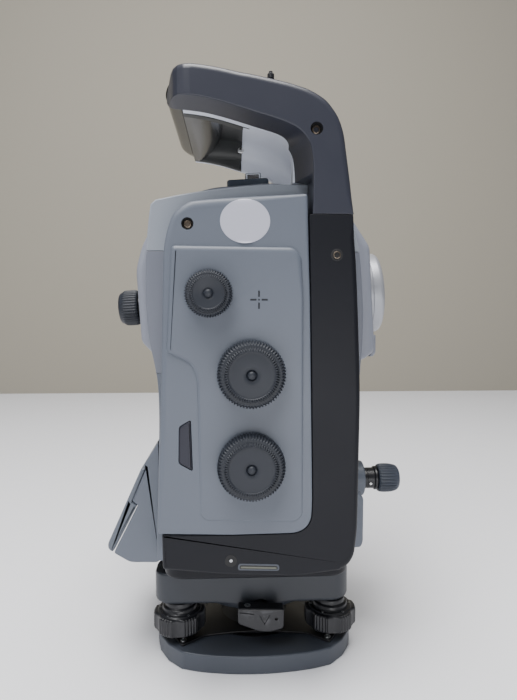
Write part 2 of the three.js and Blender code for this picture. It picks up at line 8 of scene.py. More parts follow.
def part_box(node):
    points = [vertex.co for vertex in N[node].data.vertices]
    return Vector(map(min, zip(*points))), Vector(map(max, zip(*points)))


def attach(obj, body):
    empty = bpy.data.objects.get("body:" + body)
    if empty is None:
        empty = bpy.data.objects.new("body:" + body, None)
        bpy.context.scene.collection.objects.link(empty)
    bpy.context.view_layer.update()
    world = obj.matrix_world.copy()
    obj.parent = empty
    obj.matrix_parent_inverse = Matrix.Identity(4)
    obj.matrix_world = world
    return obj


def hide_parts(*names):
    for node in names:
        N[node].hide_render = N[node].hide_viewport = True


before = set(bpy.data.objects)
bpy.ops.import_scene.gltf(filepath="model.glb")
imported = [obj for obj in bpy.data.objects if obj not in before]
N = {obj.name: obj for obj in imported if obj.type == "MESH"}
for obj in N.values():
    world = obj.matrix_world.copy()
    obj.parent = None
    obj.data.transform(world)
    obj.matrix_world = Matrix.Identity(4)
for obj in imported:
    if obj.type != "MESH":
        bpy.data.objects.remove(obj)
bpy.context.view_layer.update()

lo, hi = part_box("tripod_thread_bush")
AX, AY = (lo[0] + hi[0]) / 2, (lo[1] + hi[1]) / 2
TZ = 251.0
TILT = math.radians(3.6)
PLZ = 114.5

# ------------------------------------------------------------------ materials
def newmat(name):
    m = bpy.data.materials.new(name)
    m.use_nodes = True
    nt = m.node_tree
    for n in list(nt.nodes):
        if n.type not in ("BSDF_PRINCIPLED", "OUTPUT_MATERIAL"):
            nt.nodes.remove(n)
    return m, nt, nt.nodes["Principled BSDF"]

def finish(name, col, rough=0.45, metal=0.0, grain=2200.0, bump=0.12, var=0.05, rvar=0.06, spec=0.5, coat=0.0, coat_rough=0.2, smudge=0.0, wear=0.0, wearcol=(0.5, 0.5, 0.5), trans=0.0, ior=1.45, sheen=0.0, streak=0.0):
    m, nt, b = newmat(name)
    L = nt.links.new
    tc = nt.nodes.new("ShaderNodeTexCoord")
    src = tc.outputs["Object"]
    # fine surface grain
    ng = nt.nodes.new("ShaderNodeTexNoise"); ng.inputs["Scale"].default_value = grain; ng.inputs["Detail"].default_value = 3.0; ng.inputs["Roughness"].default_value = 0.55
    L(src, ng.inputs["Vector"])
    # broad tone variation
    nb = nt.nodes.new("ShaderNodeTexNoise"); nb.inputs["Scale"].default_value = 26.0; nb.inputs["Detail"].default_value = 5.0; nb.inputs["Roughness"].default_value = 0.6
    L(src, nb.inputs["Vector"])
    nm = nt.nodes.new("ShaderNodeTexNoise"); nm.inputs["Scale"].default_value = 420.0; nm.inputs["Detail"].default_value = 2.0
    L(src, nm.inputs["Vector"])
    mx = nt.nodes.new("ShaderNodeMix"); mx.data_type = "RGBA"
    c0 = tuple(max(0, c * (1 - var)) for c in col) + (1,)
    c1 = tuple(min(1, c * (1 + var)) for c in col) + (1,)
    mx.inputs[6].default_value = c0; mx.inputs[7].default_value = c1
    add = nt.nodes.new("ShaderNodeMath"); add.operation = "MULTIPLY_ADD"
    L(nm.outputs["Fac"], add.inputs[0]); add.inputs[1].default_value = 0.45
    sc = nt.nodes.new("ShaderNodeMath"); sc.operation = "MULTIPLY"; sc.inputs[1].default_value = 0.6
    L(nb.outputs["Fac"], sc.inputs[0]); L(sc.outputs[0], add.inputs[2])
    L(add.outputs[0], mx.inputs[0])
    out = mx.outputs[2]
    rsrc = nb.outputs["Fac"]
    if smudge > 0:
        ns = nt.nodes.new("ShaderNodeTexNoise"); ns.inputs["Scale"].default_value = 60.0; ns.inputs["Detail"].default_value = 8.0; ns.inputs["Roughness"].default_value = 0.75; ns.inputs["Distortion"].default_value = 0.6
        L(src, ns.inputs["Vector"])
        rp = nt.nodes.new("ShaderNodeValToRGB"); rp.color_ramp.elements[0].position = 0.60; rp.color_ramp.elements[1].position = 0.80
        L(ns.outputs["Fac"], rp.inputs["Fac"])
        f = nt.nodes.new("ShaderNodeMath"); f.operation = "MULTIPLY"; f.inputs[1].default_value = smudge
        L(rp.outputs["Color"], f.inputs[0])
        m2 = nt.nodes.new("ShaderNodeMix"); m2.data_type = "RGBA"
        L(f.outputs[0], m2.inputs[0]); L(out, m2.inputs[6]); m2.inputs[7].default_value = (0.52, 0.53, 0.53, 1)
        out = m2.outputs[2]
    if wear > 0:
        ge = nt.nodes.new("ShaderNodeNewGeometry")
        rp = nt.nodes.new("ShaderNodeValToRGB"); rp.color_ramp.elements[0].position = 0.585; rp.color_ramp.elements[1].position = 0.72
        L(ge.outputs["Pointiness"], rp.inputs["Fac"])
        nw = nt.nodes.new("ShaderNodeTexNoise"); nw.inputs["Scale"].default_value = 300.0; nw.inputs["Detail"].default_value = 6.0
        L(src, nw.inputs["Vector"])
        r2 = nt.nodes.new("ShaderNodeValToRGB"); r2.color_ramp.elements[0].position = 0.42; r2.color_ramp.elements[1].position = 0.62
        L(nw.outputs["Fac"], r2.inputs["Fac"])
        mu = nt.nodes.new("ShaderNodeMath"); mu.operation = "MULTIPLY"
        L(rp.outputs["Color"], mu.inputs[0]); L(r2.outputs["Color"], mu.inputs[1])
        mu2 = nt.nodes.new("ShaderNodeMath"); mu2.operation = "MULTIPLY"; mu2.inputs[1].default_value = wear
        L(mu.outputs[0], mu2.inputs[0])
        m3 = nt.nodes.new("ShaderNodeMix"); m3.data_type = "RGBA"
        L(mu2.outputs[0], m3.inputs[0]); L(out, m3.inputs[6]); m3.inputs[7].default_value = tuple(wearcol) + (1,)
        out = m3.outputs[2]
    L(out, b.inputs["Base Color"])
    mr = nt.nodes.new("ShaderNodeMapRange"); mr.inputs["To Min"].default_value = max(0.02, rough - rvar); mr.inputs["To Max"].default_value = min(1, rough + rvar)
    L(rsrc, mr.inputs["Value"]); L(mr.outputs["Result"], b.inputs["Roughness"])
    hsrc = ng.outputs["Fac"]
    if streak > 0:  # turning marks or brushing
        mp = nt.nodes.new("ShaderNodeMapping"); mp.inputs["Scale"].default_value = (3000.0, 60.0, 60.0)
        L(src, mp.inputs["Vector"])
        nst = nt.nodes.new("ShaderNodeTexNoise"); nst.inputs["Scale"].default_value = 1.0; nst.inputs["Detail"].default_value = 4.0
        L(mp.outputs["Vector"], nst.inputs["Vector"])
        ad = nt.nodes.new("ShaderNodeMath"); ad.operation = "MULTIPLY_ADD"; ad.inputs[1].default_value = streak
        L(nst.outputs["Fac"], ad.inputs[0]); L(hsrc, ad.inputs[2]); hsrc = ad.outputs[0]
    bp = nt.nodes.new("ShaderNodeBump"); bp.inputs["Strength"].default_value = bump; bp.inputs["Distance"].default_value = 0.0002
    L(hsrc, bp.inputs["Height"]); L(bp.outputs["Normal"], b.inputs["Normal"])
    b.inputs["Metallic"].default_value = metal
    b.inputs["Specular IOR Level"].default_value = spec
    b.inputs["Coat Weight"].default_value = coat
    b.inputs["Coat Roughness"].default_value = coat_rough
    b.inputs["Transmission Weight"].default_value = trans
    b.inputs["IOR"].default_value = ior
    b.inputs["Sheen Weight"].default_value = sheen
    return m

DARK = finish("dark_paint", (0.0060, 0.0066, 0.0100), 0.46, grain=1900, bump=0.16, var=0.06, spec=0.26)
# painted light: the handle is the frames' dark paint, given a brighter colour here so it reads lit
DARK_LIT_HANDLE = finish("dark_paint_lit_copy_handle", (0.027, 0.029, 0.041), 0.36, grain=1900, bump=0.16, var=0.06, spec=0.5)
# painted shade: the tribrach head is the tribrach's dark paint, given a darker colour so it reads more shaded than the
# base plate
DARK_SHADED_HEAD = finish("dark_paint_shaded_copy_tribrach_head", (0.024, 0.028, 0.036), 0.42, grain=1700, bump=0.2, var=0.08, spec=0.5, smudge=0.01)
LIGHT = finish("light_paint", (0.106, 0.121, 0.151), 0.42, grain=1900, bump=0.14, var=0.03, smudge=0.015)
# painted light: the upper cheek is the standards' light paint, given a brighter colour so it reads lit
LIGHT_LIT_CHEEK = finish("light_paint_lit_copy_cheek", (0.145, 0.156, 0.190), 0.40, grain=1900, bump=0.12, var=0.03, smudge=0.01)
# painted light: the top cap is the same light paint, given a much brighter colour so it reads lit from above
LIGHT_LIT_CAP = finish("light_paint_lit_copy_cap", (0.245, 0.268, 0.308), 0.43, grain=1900, bump=0.14, var=0.04)
PANEL = finish("panel_paint", (0.12, 0.14, 0.17), 0.48, grain=1700, bump=0.22, var=0.04, smudge=0.015)
# painted light: the lining is the light paint, made far brighter to stand in for light reaching inside the handle; the
# roof lining, coves, sight frame and plummet washer use it too
LIGHT_LIT_LINER = finish("light_paint_lit_copy_liner", (0.72, 0.755, 0.84), 0.38, grain=2000, bump=0.1, var=0.03, smudge=0.01)
# painted light: the telescope is the light paint, given a brighter colour so it reads lit
LIGHT_LIT_TELESCOPE = finish("light_paint_lit_copy_telescope", (0.215, 0.228, 0.272), 0.40, grain=1900, bump=0.12, var=0.03)
PLATE = finish("bracket_plate_paint", (0.105, 0.120, 0.148), 0.42, grain=1900, bump=0.14, var=0.03)
# painted light: the base plate is the same tribrach paint, given a brighter colour so it reads lit; the vent lip uses
# it too
DARK_LIT_BASE = finish("dark_paint_lit_copy_base_plate", (0.056, 0.064, 0.081), 0.42, grain=1700, bump=0.2, var=0.08, smudge=0.01)
# painted light: the plummet knob is the knobs' grey rubber, given a brighter colour so it reads lit
RUBBER_LIT_PLUMMET = finish("rubber_lit_copy_plummet", (0.034, 0.042, 0.060), 0.46, grain=1500, bump=0.2, var=0.06)
SIGHT = finish("sight_paint", (0.050, 0.066, 0.092), 0.36, grain=1800, bump=0.12, var=0.05)
RUBBER = finish("rubber_grey", (0.0125, 0.0155, 0.023), 0.5, grain=1500, bump=0.22, var=0.08, rvar=0.06, spec=0.5, smudge=0.01, wear=0.35, wearcol=(0.15, 0.17, 0.20))
KEY = finish("key_rubber", (0.016, 0.017, 0.028), 0.46, grain=1500, bump=0.18, var=0.05, spec=0.45)
BLACK = finish("black_plastic", (0.0125, 0.013, 0.016), 0.34, grain=1500, bump=0.12, var=0.10, wear=0.4, wearcol=(0.12, 0.12, 0.13), smudge=0.008)
SPRING = finish("black_spring_steel", (0.012, 0.012, 0.014), 0.33, grain=900, bump=0.10, var=0.15)
GRIP = finish("grip_grey", (0.0165, 0.016, 0.0155), 0.22, grain=1200, bump=0.04, var=0.05, coat=0.35, coat_rough=0.14)
PANELD = finish("inner_panel_dark", (0.034, 0.036, 0.036), 0.40, grain=1300, bump=0.08, var=0.05)
SILVER = finish("silver_anodised", (0.37, 0.38, 0.41), 0.42, metal=0.55, grain=2600, bump=0.05, var=0.03, streak=0.3)
STEEL = finish("turned_steel", (0.42, 0.43, 0.44), 0.30, metal=1.0, grain=2600, bump=0.06, var=0.05, streak=0.6)
BRASS = finish("machined_brass", (0.52, 0.38, 0.15), 0.32, metal=1.0, grain=2600, bump=0.06, var=0.06, streak=0.6)
SCREW = finish("screw_head", (0.17, 0.138, 0.11), 0.36, metal=0.9, grain=2600, bump=0.08, var=0.08)
BRIGHT = finish("bright_screw", (0.70, 0.70, 0.70), 0.30, metal=0.9, grain=2600, bump=0.06, var=0.05)
GOLD = finish("contact_gold", (0.75, 0.55, 0.22), 0.25, metal=1.0, grain=2600, bump=0.04, var=0.05)
BOARD = finish("board_green", (0.012, 0.085, 0.035), 0.38, grain=800, bump=0.1, var=0.15, coat=0.3)
BATT = finish("battery_black", (0.016, 0.017, 0.02), 0.55, grain=1500, bump=0.2, var=0.1)
LABEL = finish("label_white", (0.43, 0.435, 0.51), 0.36, grain=900, bump=0.02, var=0.012, coat=0.15)
MARK = finish("mark_dark", (0.010, 0.012, 0.018), 0.5, grain=1500, bump=0.1, var=0.05)
# painted shade: near-black colour laid in screw recesses, the trigger gap, the vent slot and the liner gap, where shade
# falls
RECESS_SHADE = finish("painted_shade_for_recesses", (0.006, 0.006, 0.007), 0.6, grain=1500, bump=0.1, var=0.1)
GLASS = finish("coated_glass", (0.012, 0.018, 0.045), 0.035, grain=60, bump=0.0, var=0.25, rvar=0.01, spec=0.9, coat=1.0, coat_rough=0.02)
GLASS2 = finish("clear_disc", (0.16, 0.22, 0.28), 0.05, grain=60, bump=0.0, var=0.08, rvar=0.01, spec=0.8, coat=0.6, coat_rough=0.03)
DWIN = finish("dark_window", (0.008, 0.006, 0.010), 0.06, grain=60, bump=0.0, var=0.2, rvar=0.01, spec=0.7, coat=1.0, coat_rough=0.03)
SCREEN = finish("lcd_screen", (0.20, 0.25, 0.20), 0.12, grain=1200, bump=0.02, var=0.04, rvar=0.02, coat=0.9, coat_rough=0.05)
VIAL = finish("vial_liquid", (0.30, 0.42, 0.06), 0.06, grain=60, bump=0.0, var=0.1, rvar=0.02, coat=1.0, coat_rough=0.03)
OLIVE = finish("olive_insert", (0.115, 0.12, 0.095), 0.5, grain=1500, bump=0.2, var=0.08)

# ------------------------------------------------------------------ mesh helpers
MM = 0.001
def W(p):
    return Vector((p[0] * MM + AX, p[1] * MM + AY, p[2] * MM))
CT, ST = math.cos(TILT), math.sin(TILT)
def T(p):  # telescope frame to row frame
    x, y, z = p
    return W((x * CT - z * ST, y, TZ + x * ST + z * CT))

def area2(o):
    return sum(o[i][0] * o[(i + 1) % len(o)][1] - o[(i + 1) % len(o)][0] * o[i][1] for i in range(len(o)))
def ccw(o):
    return list(o) if area2(o) > 0 else list(reversed(o))

def soft(points, n=6):
    """points (x, y, cut): corners rounded by a quadratic curve."""
    out = []
    P = [(p[0], p[1], p[2] if len(p) > 2 else 0) for p in points]
    for i, p in enumerate(P):
        a, b = P[i - 1], P[(i + 1) % len(P)]
        la, lb = math.dist(a[:2], p[:2]), math.dist(b[:2], p[:2])
        d = min(p[2], la * 0.49, lb * 0.49)
        if d < 0.05:
            out.append((p[0], p[1])); continue
        s = (p[0] + (a[0] - p[0]) * d / la, p[1] + (a[1] - p[1]) * d / la)
        e = (p[0] + (b[0] - p[0]) * d / lb, p[1] + (b[1] - p[1]) * d / lb)
        for k in range(n + 1):
            t = k / n; u = 1 - t
            out.append((u * u * s[0] + 2 * u * t * p[0] + t * t * e[0], u * u * s[1] + 2 * u * t * p[1] + t * t * e[1]))
    return out

def fair(points, sharp, n=4):
    """Catmull-Rom through points; the indices in sharp stay corners."""
    out = []
    m = len(points)
    for i in range(m):
        p1, p2 = points[i], points[(i + 1) % m]
        p0 = points[i - 1] if i not in sharp else (2 * p1[0] - p2[0], 2 * p1[1] - p2[1])
        j = (i + 1) % m
        p3 = points[(i + 2) % m] if j not in sharp else (2 * p2[0] - p1[0], 2 * p2[1] - p1[1])
        if i in sharp and j in sharp:
            out.append(p1); continue
        for k in range(n):
            t = k / n
            out.append(tuple(0.5 * (2 * p1[c] + (p2[c] - p0[c]) * t + (2 * p0[c] - 5 * p1[c] + 4 * p2[c] - p3[c]) * t * t + (3 * p1[c] - p0[c] - 3 * p2[c] + p3[c]) * t ** 3) for c in (0, 1)))
    return out

def inset(o, d):
    """Moves each point of a ccw outline inwards along its mitre; d is a number or one per point."""
    n = len(o); res = []
    for i in range(n):
        a, p, b = o[i - 1], o[i], o[(i + 1) % n]
        e1 = Vector((p[0] - a[0], p[1] - a[1])); e2 = Vector((b[0] - p[0], b[1] - p[1]))
        if e1.length < 1e-6: e1 = e2.copy()
        if e2.length < 1e-6: e2 = e1.copy()
        e1.normalize(); e2.normalize()
        n1, n2 = Vector((-e1.y, e1.x)), Vector((-e2.y, e2.x))
        k = max(0.35, 1 + n1.dot(n2))
        v = (n1 + n2) / k
        dd = d[i] if isinstance(d, (list, tuple)) else d
        res.append((p[0] + v.x * dd, p[1] + v.y * dd))
    return res

def shade(ob, angle=35):
    me = ob.data
    for p in me.polygons: p.use_smooth = True
    me.set_sharp_from_angle(angle=math.radians(angle))

def build(name, verts, faces, mat, xf=W, angle=35):
    me = bpy.data.meshes.new(name)
    me.from_pydata([xf(v) for v in verts], [], faces)
    bm = bmesh.new(); bm.from_mesh(me)
    bmesh.ops.remove_doubles(bm, verts=bm.verts, dist=1e-7)
    bmesh.ops.recalc_face_normals(bm, faces=bm.faces)
    bm.to_mesh(me); bm.free()
    ob = bpy.data.objects.new(name, me)
    bpy.context.scene.collection.objects.link(ob)
    me.materials.append(mat)
    shade(ob, angle)
    return ob

MAP = {"y": lambda u, v, a: (u, a, v), "z": lambda u, v, a: (u, v, a), "x": lambda u, v, a: (a, u, v)}

def slab(name, outline, axis, a0, a1, e0=0.0, e1=0.0, mat=None, xf=W, seg=4, shift=None, angle=35):
    """Prism along an axis from a0 to a1, its edges rounded by e0 and e1 (numbers, or one per point)."""
    o = ccw(outline); rev = area2(outline) < 0
    def per(e):
        if isinstance(e, list):
            return list(reversed(e)) if rev else list(e)
        return [e] * len(o)
    E0, E1 = per(e0), per(e1)
    s = 1 if a1 > a0 else -1
    rings = []
    def add(ins, dep, a):
        pts = inset(o, ins)
        r = []
        for (u, v), d in zip(pts, dep):
            q = list(MAP[axis](u, v, a + d))
            if shift: q = shift(q)
            r.append(tuple(q))
        rings.append(r)
    if max(E0) > 0:
        for k in range(seg):
            f = math.pi / 2 * k / seg
            add([r * (1 - math.sin(f)) for r in E0], [s * r * (1 - math.cos(f)) for r in E0], a0)
    add([0.0] * len(o), [s * r for r in E0], a0)
    add([0.0] * len(o), [-s * r for r in E1], a1)
    if max(E1) > 0:
        for k in range(1, seg + 1):
            f = math.pi / 2 * k / seg
            add([r * (1 - math.cos(f)) for r in E1], [-s * r * (1 - math.sin(f)) for r in E1], a1)
    n = len(o)
    verts = [p for r in rings for p in r]
    faces = []
    for i in range(len(rings) - 1):
        for j in range(n):
            k = (j + 1) % n
            faces.append((i * n + j, i * n + k, (i + 1) * n + k, (i + 1) * n + j))
    faces.append(tuple(range(n))[::-1])
    faces.append(tuple((len(rings) - 1) * n + j for j in range(n)))
    return build(name, verts, faces, mat, xf, angle)

def lathe(name, prof, axis, c, n=64, mat=None, xf=W, mod=None, angle=35, close=False):
    """Turned piece. prof is (r, h) along the axis from c; mod(theta, i, r, h) may change a point."""
    verts, idx = [], []
    for i, (r, h) in enumerate(prof):
        row = []
        if r < 1e-6:
            verts.append((0, 0, mod(0.0, i, r, h)[1] if mod else h)); row = [len(verts) - 1] * n
        else:
            for j in range(n):
                t = 2 * math.pi * j / n
                rr, hh = mod(t, i, r, h) if mod else (r, h)
                verts.append((rr * math.cos(t), rr * math.sin(t), hh)); row.append(len(verts) - 1)
        idx.append(row)
    faces = []
    m = len(prof)
    for i in range(m if close else m - 1):
        a, b = idx[i], idx[(i + 1) % m]
        for j in range(n):
            k = (j + 1) % n
            f = [a[j], a[k], b[k], b[j]]
            g = [f[q] for q in range(4) if f[q] != f[q - 1]]
            if len(g) >= 3 and len(set(g)) >= 3: faces.append(tuple(dict.fromkeys(g)))
    if axis == "z": place = lambda v: (c[0] + v[0], c[1] + v[1], c[2] + v[2])
    elif axis == "y": place = lambda v: (c[0] + v[0], c[1] + v[2], c[2] + v[1])
    else: place = lambda v: (c[0] + v[2], c[1] + v[0], c[2] + v[1])
    return build(name, [place(v) for v in verts], faces, mat, xf, angle)

def cyl(name, r, a0, a1, axis, c, n=32, mat=None, xf=W, e=0.0):
    prof = [(0, a0), (r - e, a0), (r, a0 + e), (r, a1 - e), (r - e, a1), (0, a1)] if e > 0 else [(0, a0), (r, a0), (r, a1), (0, a1)]
    return lathe(name, prof, axis, c, n, mat, xf)
def tube(name, r0, r1, a0, a1, axis, c, n=48, mat=None, xf=W, e=0.2):
    return lathe(name, [(r0, a0), (r1 - e, a0), (r1, a0 + e), (r1, a1 - e), (r1 - e, a1), (r0, a1)], axis, c, n, mat, xf, close=True)
def brick(name, x0, x1, y0, y1, z0, z1, mat=None, xf=W, e=0.3, seg=2, r=0.0):
    o = soft([(x0, y0, r), (x1, y0, r), (x1, y1, r), (x0, y1, r)], 4) if r > 0 else [(x0, y0), (x1, y0), (x1, y1), (x0, y1)]
    return slab(name, o, "z", z0, z1, e, e, mat, xf, seg)

def volume(me):
    bm = bmesh.new(); bm.from_mesh(me)
    v = bm.calc_volume(signed=False); bm.free()
    return v

def boolean(ob, tools, op="DIFFERENCE"):
    for t in tools if isinstance(tools, (list, tuple)) else [tools]:
        before, tv = volume(ob.data), volume(t.data)
        done = None
        for solver in ("EXACT", "MANIFOLD", "FLOAT"):
            try:
                md = ob.modifiers.new("b", "BOOLEAN"); md.operation = op; md.object = t; md.solver = solver
            except TypeError:
                ob.modifiers.clear(); continue
            dg = bpy.context.evaluated_depsgraph_get()
            me = bpy.data.meshes.new_from_object(ob.evaluated_get(dg), depsgraph=dg)
            ob.modifiers.clear()
            after = volume(me)
            ok = len(me.polygons) > 3
            if op == "DIFFERENCE": ok = ok and after <= before * 1.001 and after >= before - tv * 1.02 - 1e-12
            elif op == "UNION": ok = ok and after >= max(before, tv) * 0.995 and after <= (before + tv) * 1.005
            if ok:
                done = me; break
            bpy.data.meshes.remove(me)
        if done is None:
            print("boolean left out:", ob.name, t.name, op)
        else:
            old = ob.data; ob.data = done; bpy.data.meshes.remove(old)
        bpy.data.objects.remove(t)
    shade(ob)
    return ob
cut = lambda ob, *t: boolean(ob, list(t))
weld = lambda ob, *t: boolean(ob, list(t), "UNION")

def bevel(ob, w, seg=2, angle=40):
    md = ob.modifiers.new("bev", "BEVEL"); md.width = w * MM; md.segments = seg; md.limit_method = "ANGLE"; md.angle_limit = math.radians(angle)
    md.use_clamp_overlap = True; md.harden_normals = False
    dg = bpy.context.evaluated_depsgraph_get()
    me = bpy.data.meshes.new_from_object(ob.evaluated_get(dg), depsgraph=dg)
    ob.modifiers.clear(); old = ob.data; ob.data = me; bpy.data.meshes.remove(old)
    shade(ob, 40)
    return ob

def join(obs, name):
    """Several meshes become one object, each keeping its material."""
    mats, verts, faces, mi, sm = [], [], [], [], []
    for o in obs:
        base = len(verts)
        verts += [v.co.copy() for v in o.data.vertices]
        m = o.data.materials[0]
        if m not in mats: mats.append(m)
        for p in o.data.polygons:
            faces.append(tuple(base + i for i in p.vertices)); mi.append(mats.index(o.data.materials[p.material_index] if o.data.materials[p.material_index] in mats else m))
    me = bpy.data.meshes.new(name)
    me.from_pydata(verts, [], faces)
    for m in mats: me.materials.append(m)
    for p, i in zip(me.polygons, mi): p.material_index = i
    for o in obs: bpy.data.objects.remove(o)
    ob = bpy.data.objects.new(name, me)
    bpy.context.scene.collection.objects.link(ob)
    shade(ob, 38)
    return ob

def piece(ob, body, slot, *nodes):
    if nodes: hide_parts(*nodes)
    md = ob.modifiers.new("wn", "WEIGHTED_NORMAL"); md.keep_sharp = True; md.weight = 60
    dg = bpy.context.evaluated_depsgraph_get()
    me = bpy.data.meshes.new_from_object(ob.evaluated_get(dg), depsgraph=dg)
    ob.modifiers.clear(); old = ob.data; ob.data = me; bpy.data.meshes.remove(old)
    for n in nodes:
        v0, v1 = volume(N[n].data), volume(ob.data)
        if len(nodes) == 1 and not 0.9 < v1 / v0 < 1.12: print("volume", ob.name, n, round(v1 / v0, 3))
    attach(ob, body)
    return ob

def wave(x):  # soft-topped tooth, 0..1
    c = 0.5 + 0.5 * math.cos(x)
    return c * c * (3 - 2 * c)

# ------------------------------------------------------------------ camera first
cam = bpy.data.cameras.new("camera")
cam.lens = 540.0 * 36.0 / 700.0
cam.sensor_width = 36.0
cam.clip_start = 0.02
camera = bpy.data.objects.new("camera", cam)
camera.location = (AX - 0.0147, AY - 0.4057, 0.2409)
camera.rotation_euler = (math.radians(90 - 3.84), 0, -math.radians(2.6))
bpy.context.scene.collection.objects.link(camera)
bpy.context.scene.camera = camera

# slab edges may also be (inset, depth) pairs, one per outline point
def edged(name, outline, axis, a0, a1, E0, E1, mat, xf=W, seg=4, shift=None, angle=35):
    rev = area2(outline) < 0
    o = ccw(outline)
    def per(E):
        if not isinstance(E, list): E = [E] * len(outline)
        E = [e if isinstance(e, tuple) else (e, e) for e in E]
        return list(reversed(E)) if rev else E
    E0, E1 = per(E0), per(E1)
    s = 1 if a1 > a0 else -1
    rings = []
    def add(ins, dep, a):
        r = []
        for (u, v), d in zip(inset(o, ins), dep):
            q = list(MAP[axis](u, v, a + d))
            if shift: q = shift(q)
            r.append(tuple(q))
        rings.append(r)
    if max(e[0] for e in E0) > 0:
        for k in range(seg):
            f = math.pi / 2 * k / seg
            add([e[0] * (1 - math.sin(f)) for e in E0], [s * e[1] * (1 - math.cos(f)) for e in E0], a0)
    add([0.0] * len(o), [s * e[1] for e in E0], a0)
    add([0.0] * len(o), [-s * e[1] for e in E1], a1)
    if max(e[0] for e in E1) > 0:
        for k in range(1, seg + 1):
            f = math.pi / 2 * k / seg
            add([e[0] * (1 - math.cos(f)) for e in E1], [-s * e[1] * (1 - math.sin(f)) for e in E1], a1)
    n = len(o)
    verts = [p for r in rings for p in r]
    faces = []
    for i in range(len(rings) - 1):
        for j in range(n):
            k = (j + 1) % n
            faces.append((i * n + j, i * n + k, (i + 1) * n + k, (i + 1) * n + j))
    faces.append(tuple(range(n))[::-1])
    faces.append(tuple((len(rings) - 1) * n + j for j in range(n)))
    return build(name, verts, faces, mat, xf, angle)

def clip(o, z, above):
    """Part of an (x, z) outline above or below a level."""
    out = []
    for i in range(len(o)):
        a, b = o[i], o[(i + 1) % len(o)]
        ia, ib = ((a[1] >= z) == above), ((b[1] >= z) == above)
        if ia: out.append(a)
        if ia != ib:
            t = (z - a[1]) / (b[1] - a[1]); out.append((a[0] + (b[0] - a[0]) * t, z))
    return out

def screw(name, x, z, y, s, body_r=3.1, mat=None, depth=1.5):
    """Socket-head screw sunk in a round recess, seen along Y; s is -1 on the near side."""
    h = lathe(name, [(0, 0), (body_r, 0), (body_r, depth - 0.5), (body_r - 0.25, depth - 0.15), (body_r - 0.7, depth), (1.75, depth), (1.6, depth - 0.15), (1.55, depth - 1.2), (0, depth - 1.35)], "y", (x, y, z), 36, mat or SCREW,
              mod=lambda t, i, r, hh: ((r if i < 5 or i == 8 else 1.62 / max(0.866, math.cos((t + math.pi / 6) % (math.pi / 3) - math.pi / 6)) * (0.94 if i == 7 else 1), s * hh)))
    return h

def polar(r, deg):
    return (r * math.cos(math.radians(deg)), r * math.sin(math.radians(deg)))

SCR = {"left": 210, "right": 330, "rear": 90}
SR = 62.2

# ------------------------------------------------------------------ base plate
po = []
for a in (270, 30, 150):
    for t, r in ((-44.2, 73.1), (-33, 67.4), (-17, 62), (0, 60.2), (17, 62), (33, 67.4), (44.2, 73.1), (54.6, 74.6), (65.4, 74.6)):
        po.append(polar(r, a + t))
sharp = set()
for g in range(3):
    for k in (0, 6, 7, 8): sharp.add(g * 9 + k)
plate_o = fair(po, sharp, 5)
# the base plate takes the brighter copy of the tribrach paint: painted light
plate = edged("base_plate_body", plate_o, "z", 0.0, 12.5, (0.9, 0.9), (1.3, 1.1), DARK_LIT_BASE, seg=3)
plate = cut(plate, cyl("c", 12.3, -2, 16, "z", (0, 0, 0), 64), tube("c", 30, 37.6, 10.9, 16, "z", (0, 0, 0), 96, e=0.01),
            *[cyl("c", 6.2, 9.5, 16, "z", (*polar(SR, a), 0), 40) for a in SCR.values()],
            tube("c", 20, 25.5, -1, 3.2, "z", (0, 0, 0), 72, e=0.01), tube("c", 44, 52, -1, 2.2, "z", (0, 0, 0), 72, e=0.01))
bevel(plate, 0.35, 2, 40)
piece(plate, "base", "dark_paint", "base_plate")
# bright turned ring in the groove and the brass bush
piece(tube("groove_ring", 30.3, 37.3, 10.95, 11.5, "z", (0, 0, 0), 96, STEEL, e=0.15), "base", "steel")
bush = lathe("thread_bush", [(8.0, 0.6), (8.6, 0.4), (11.5, 0.4), (11.7, 0.7), (11.7, 11.9), (11.4, 12.2), (8.7, 12.2)] + [(8.0 + (0.55 if k % 2 else 0.0), 11.7 - k * 0.55) for k in range(20)], "z", (0, 0, 0), 72, BRASS, close=True)
piece(bush, "base", "brass", "tripod_thread_bush")

# spring plate of three tongues
so = []
for a in (90, 210, 330):
    so += [(*polar(33, a - 60), 3), (*polar(36, a - 38), 5), (*polar(52, a - 15), 4), (*polar(70, a - 13.2), 2.5), (*polar(70, a + 13.2), 2.5), (*polar(52, a + 15), 4), (*polar(36, a + 38), 5)]
spring = slab("spring_plate_leaf", soft(so, 5), "z", 12.75, 14.2, 0.25, 0.3, SPRING, seg=2)
holes = [cyl("c", 25, 10, 17, "z", (0, 0, 0), 72)] + [cyl("c", 6.6, 10, 17, "z", (*polar(SR, a), 0), 40) for a in SCR.values()]
spring = cut(spring, *holes)
piece(spring, "base", "black_plastic", "spring_plate")
ps = []
for a in SCR.values():
    for t in (-10.3, 10.3):
        x, y = polar(66.0, a + t)
        ps.append(lathe("leaf_screw", [(0, 12.6), (2.1, 12.6), (2.1, 14.9), (1.8, 15.25), (1.1, 15.4), (0.95, 15.3), (0.9, 14.6), (0, 14.5)], "z", (x, y, 0), 28, STEEL,
                       mod=lambda t2, i, r, h: (r if i < 5 or r == 0 else r / max(0.866, math.cos((t2 + math.pi / 6) % (math.pi / 3) - math.pi / 6)), h)))
piece(join(ps, "leaf_screws"), "base", "steel")

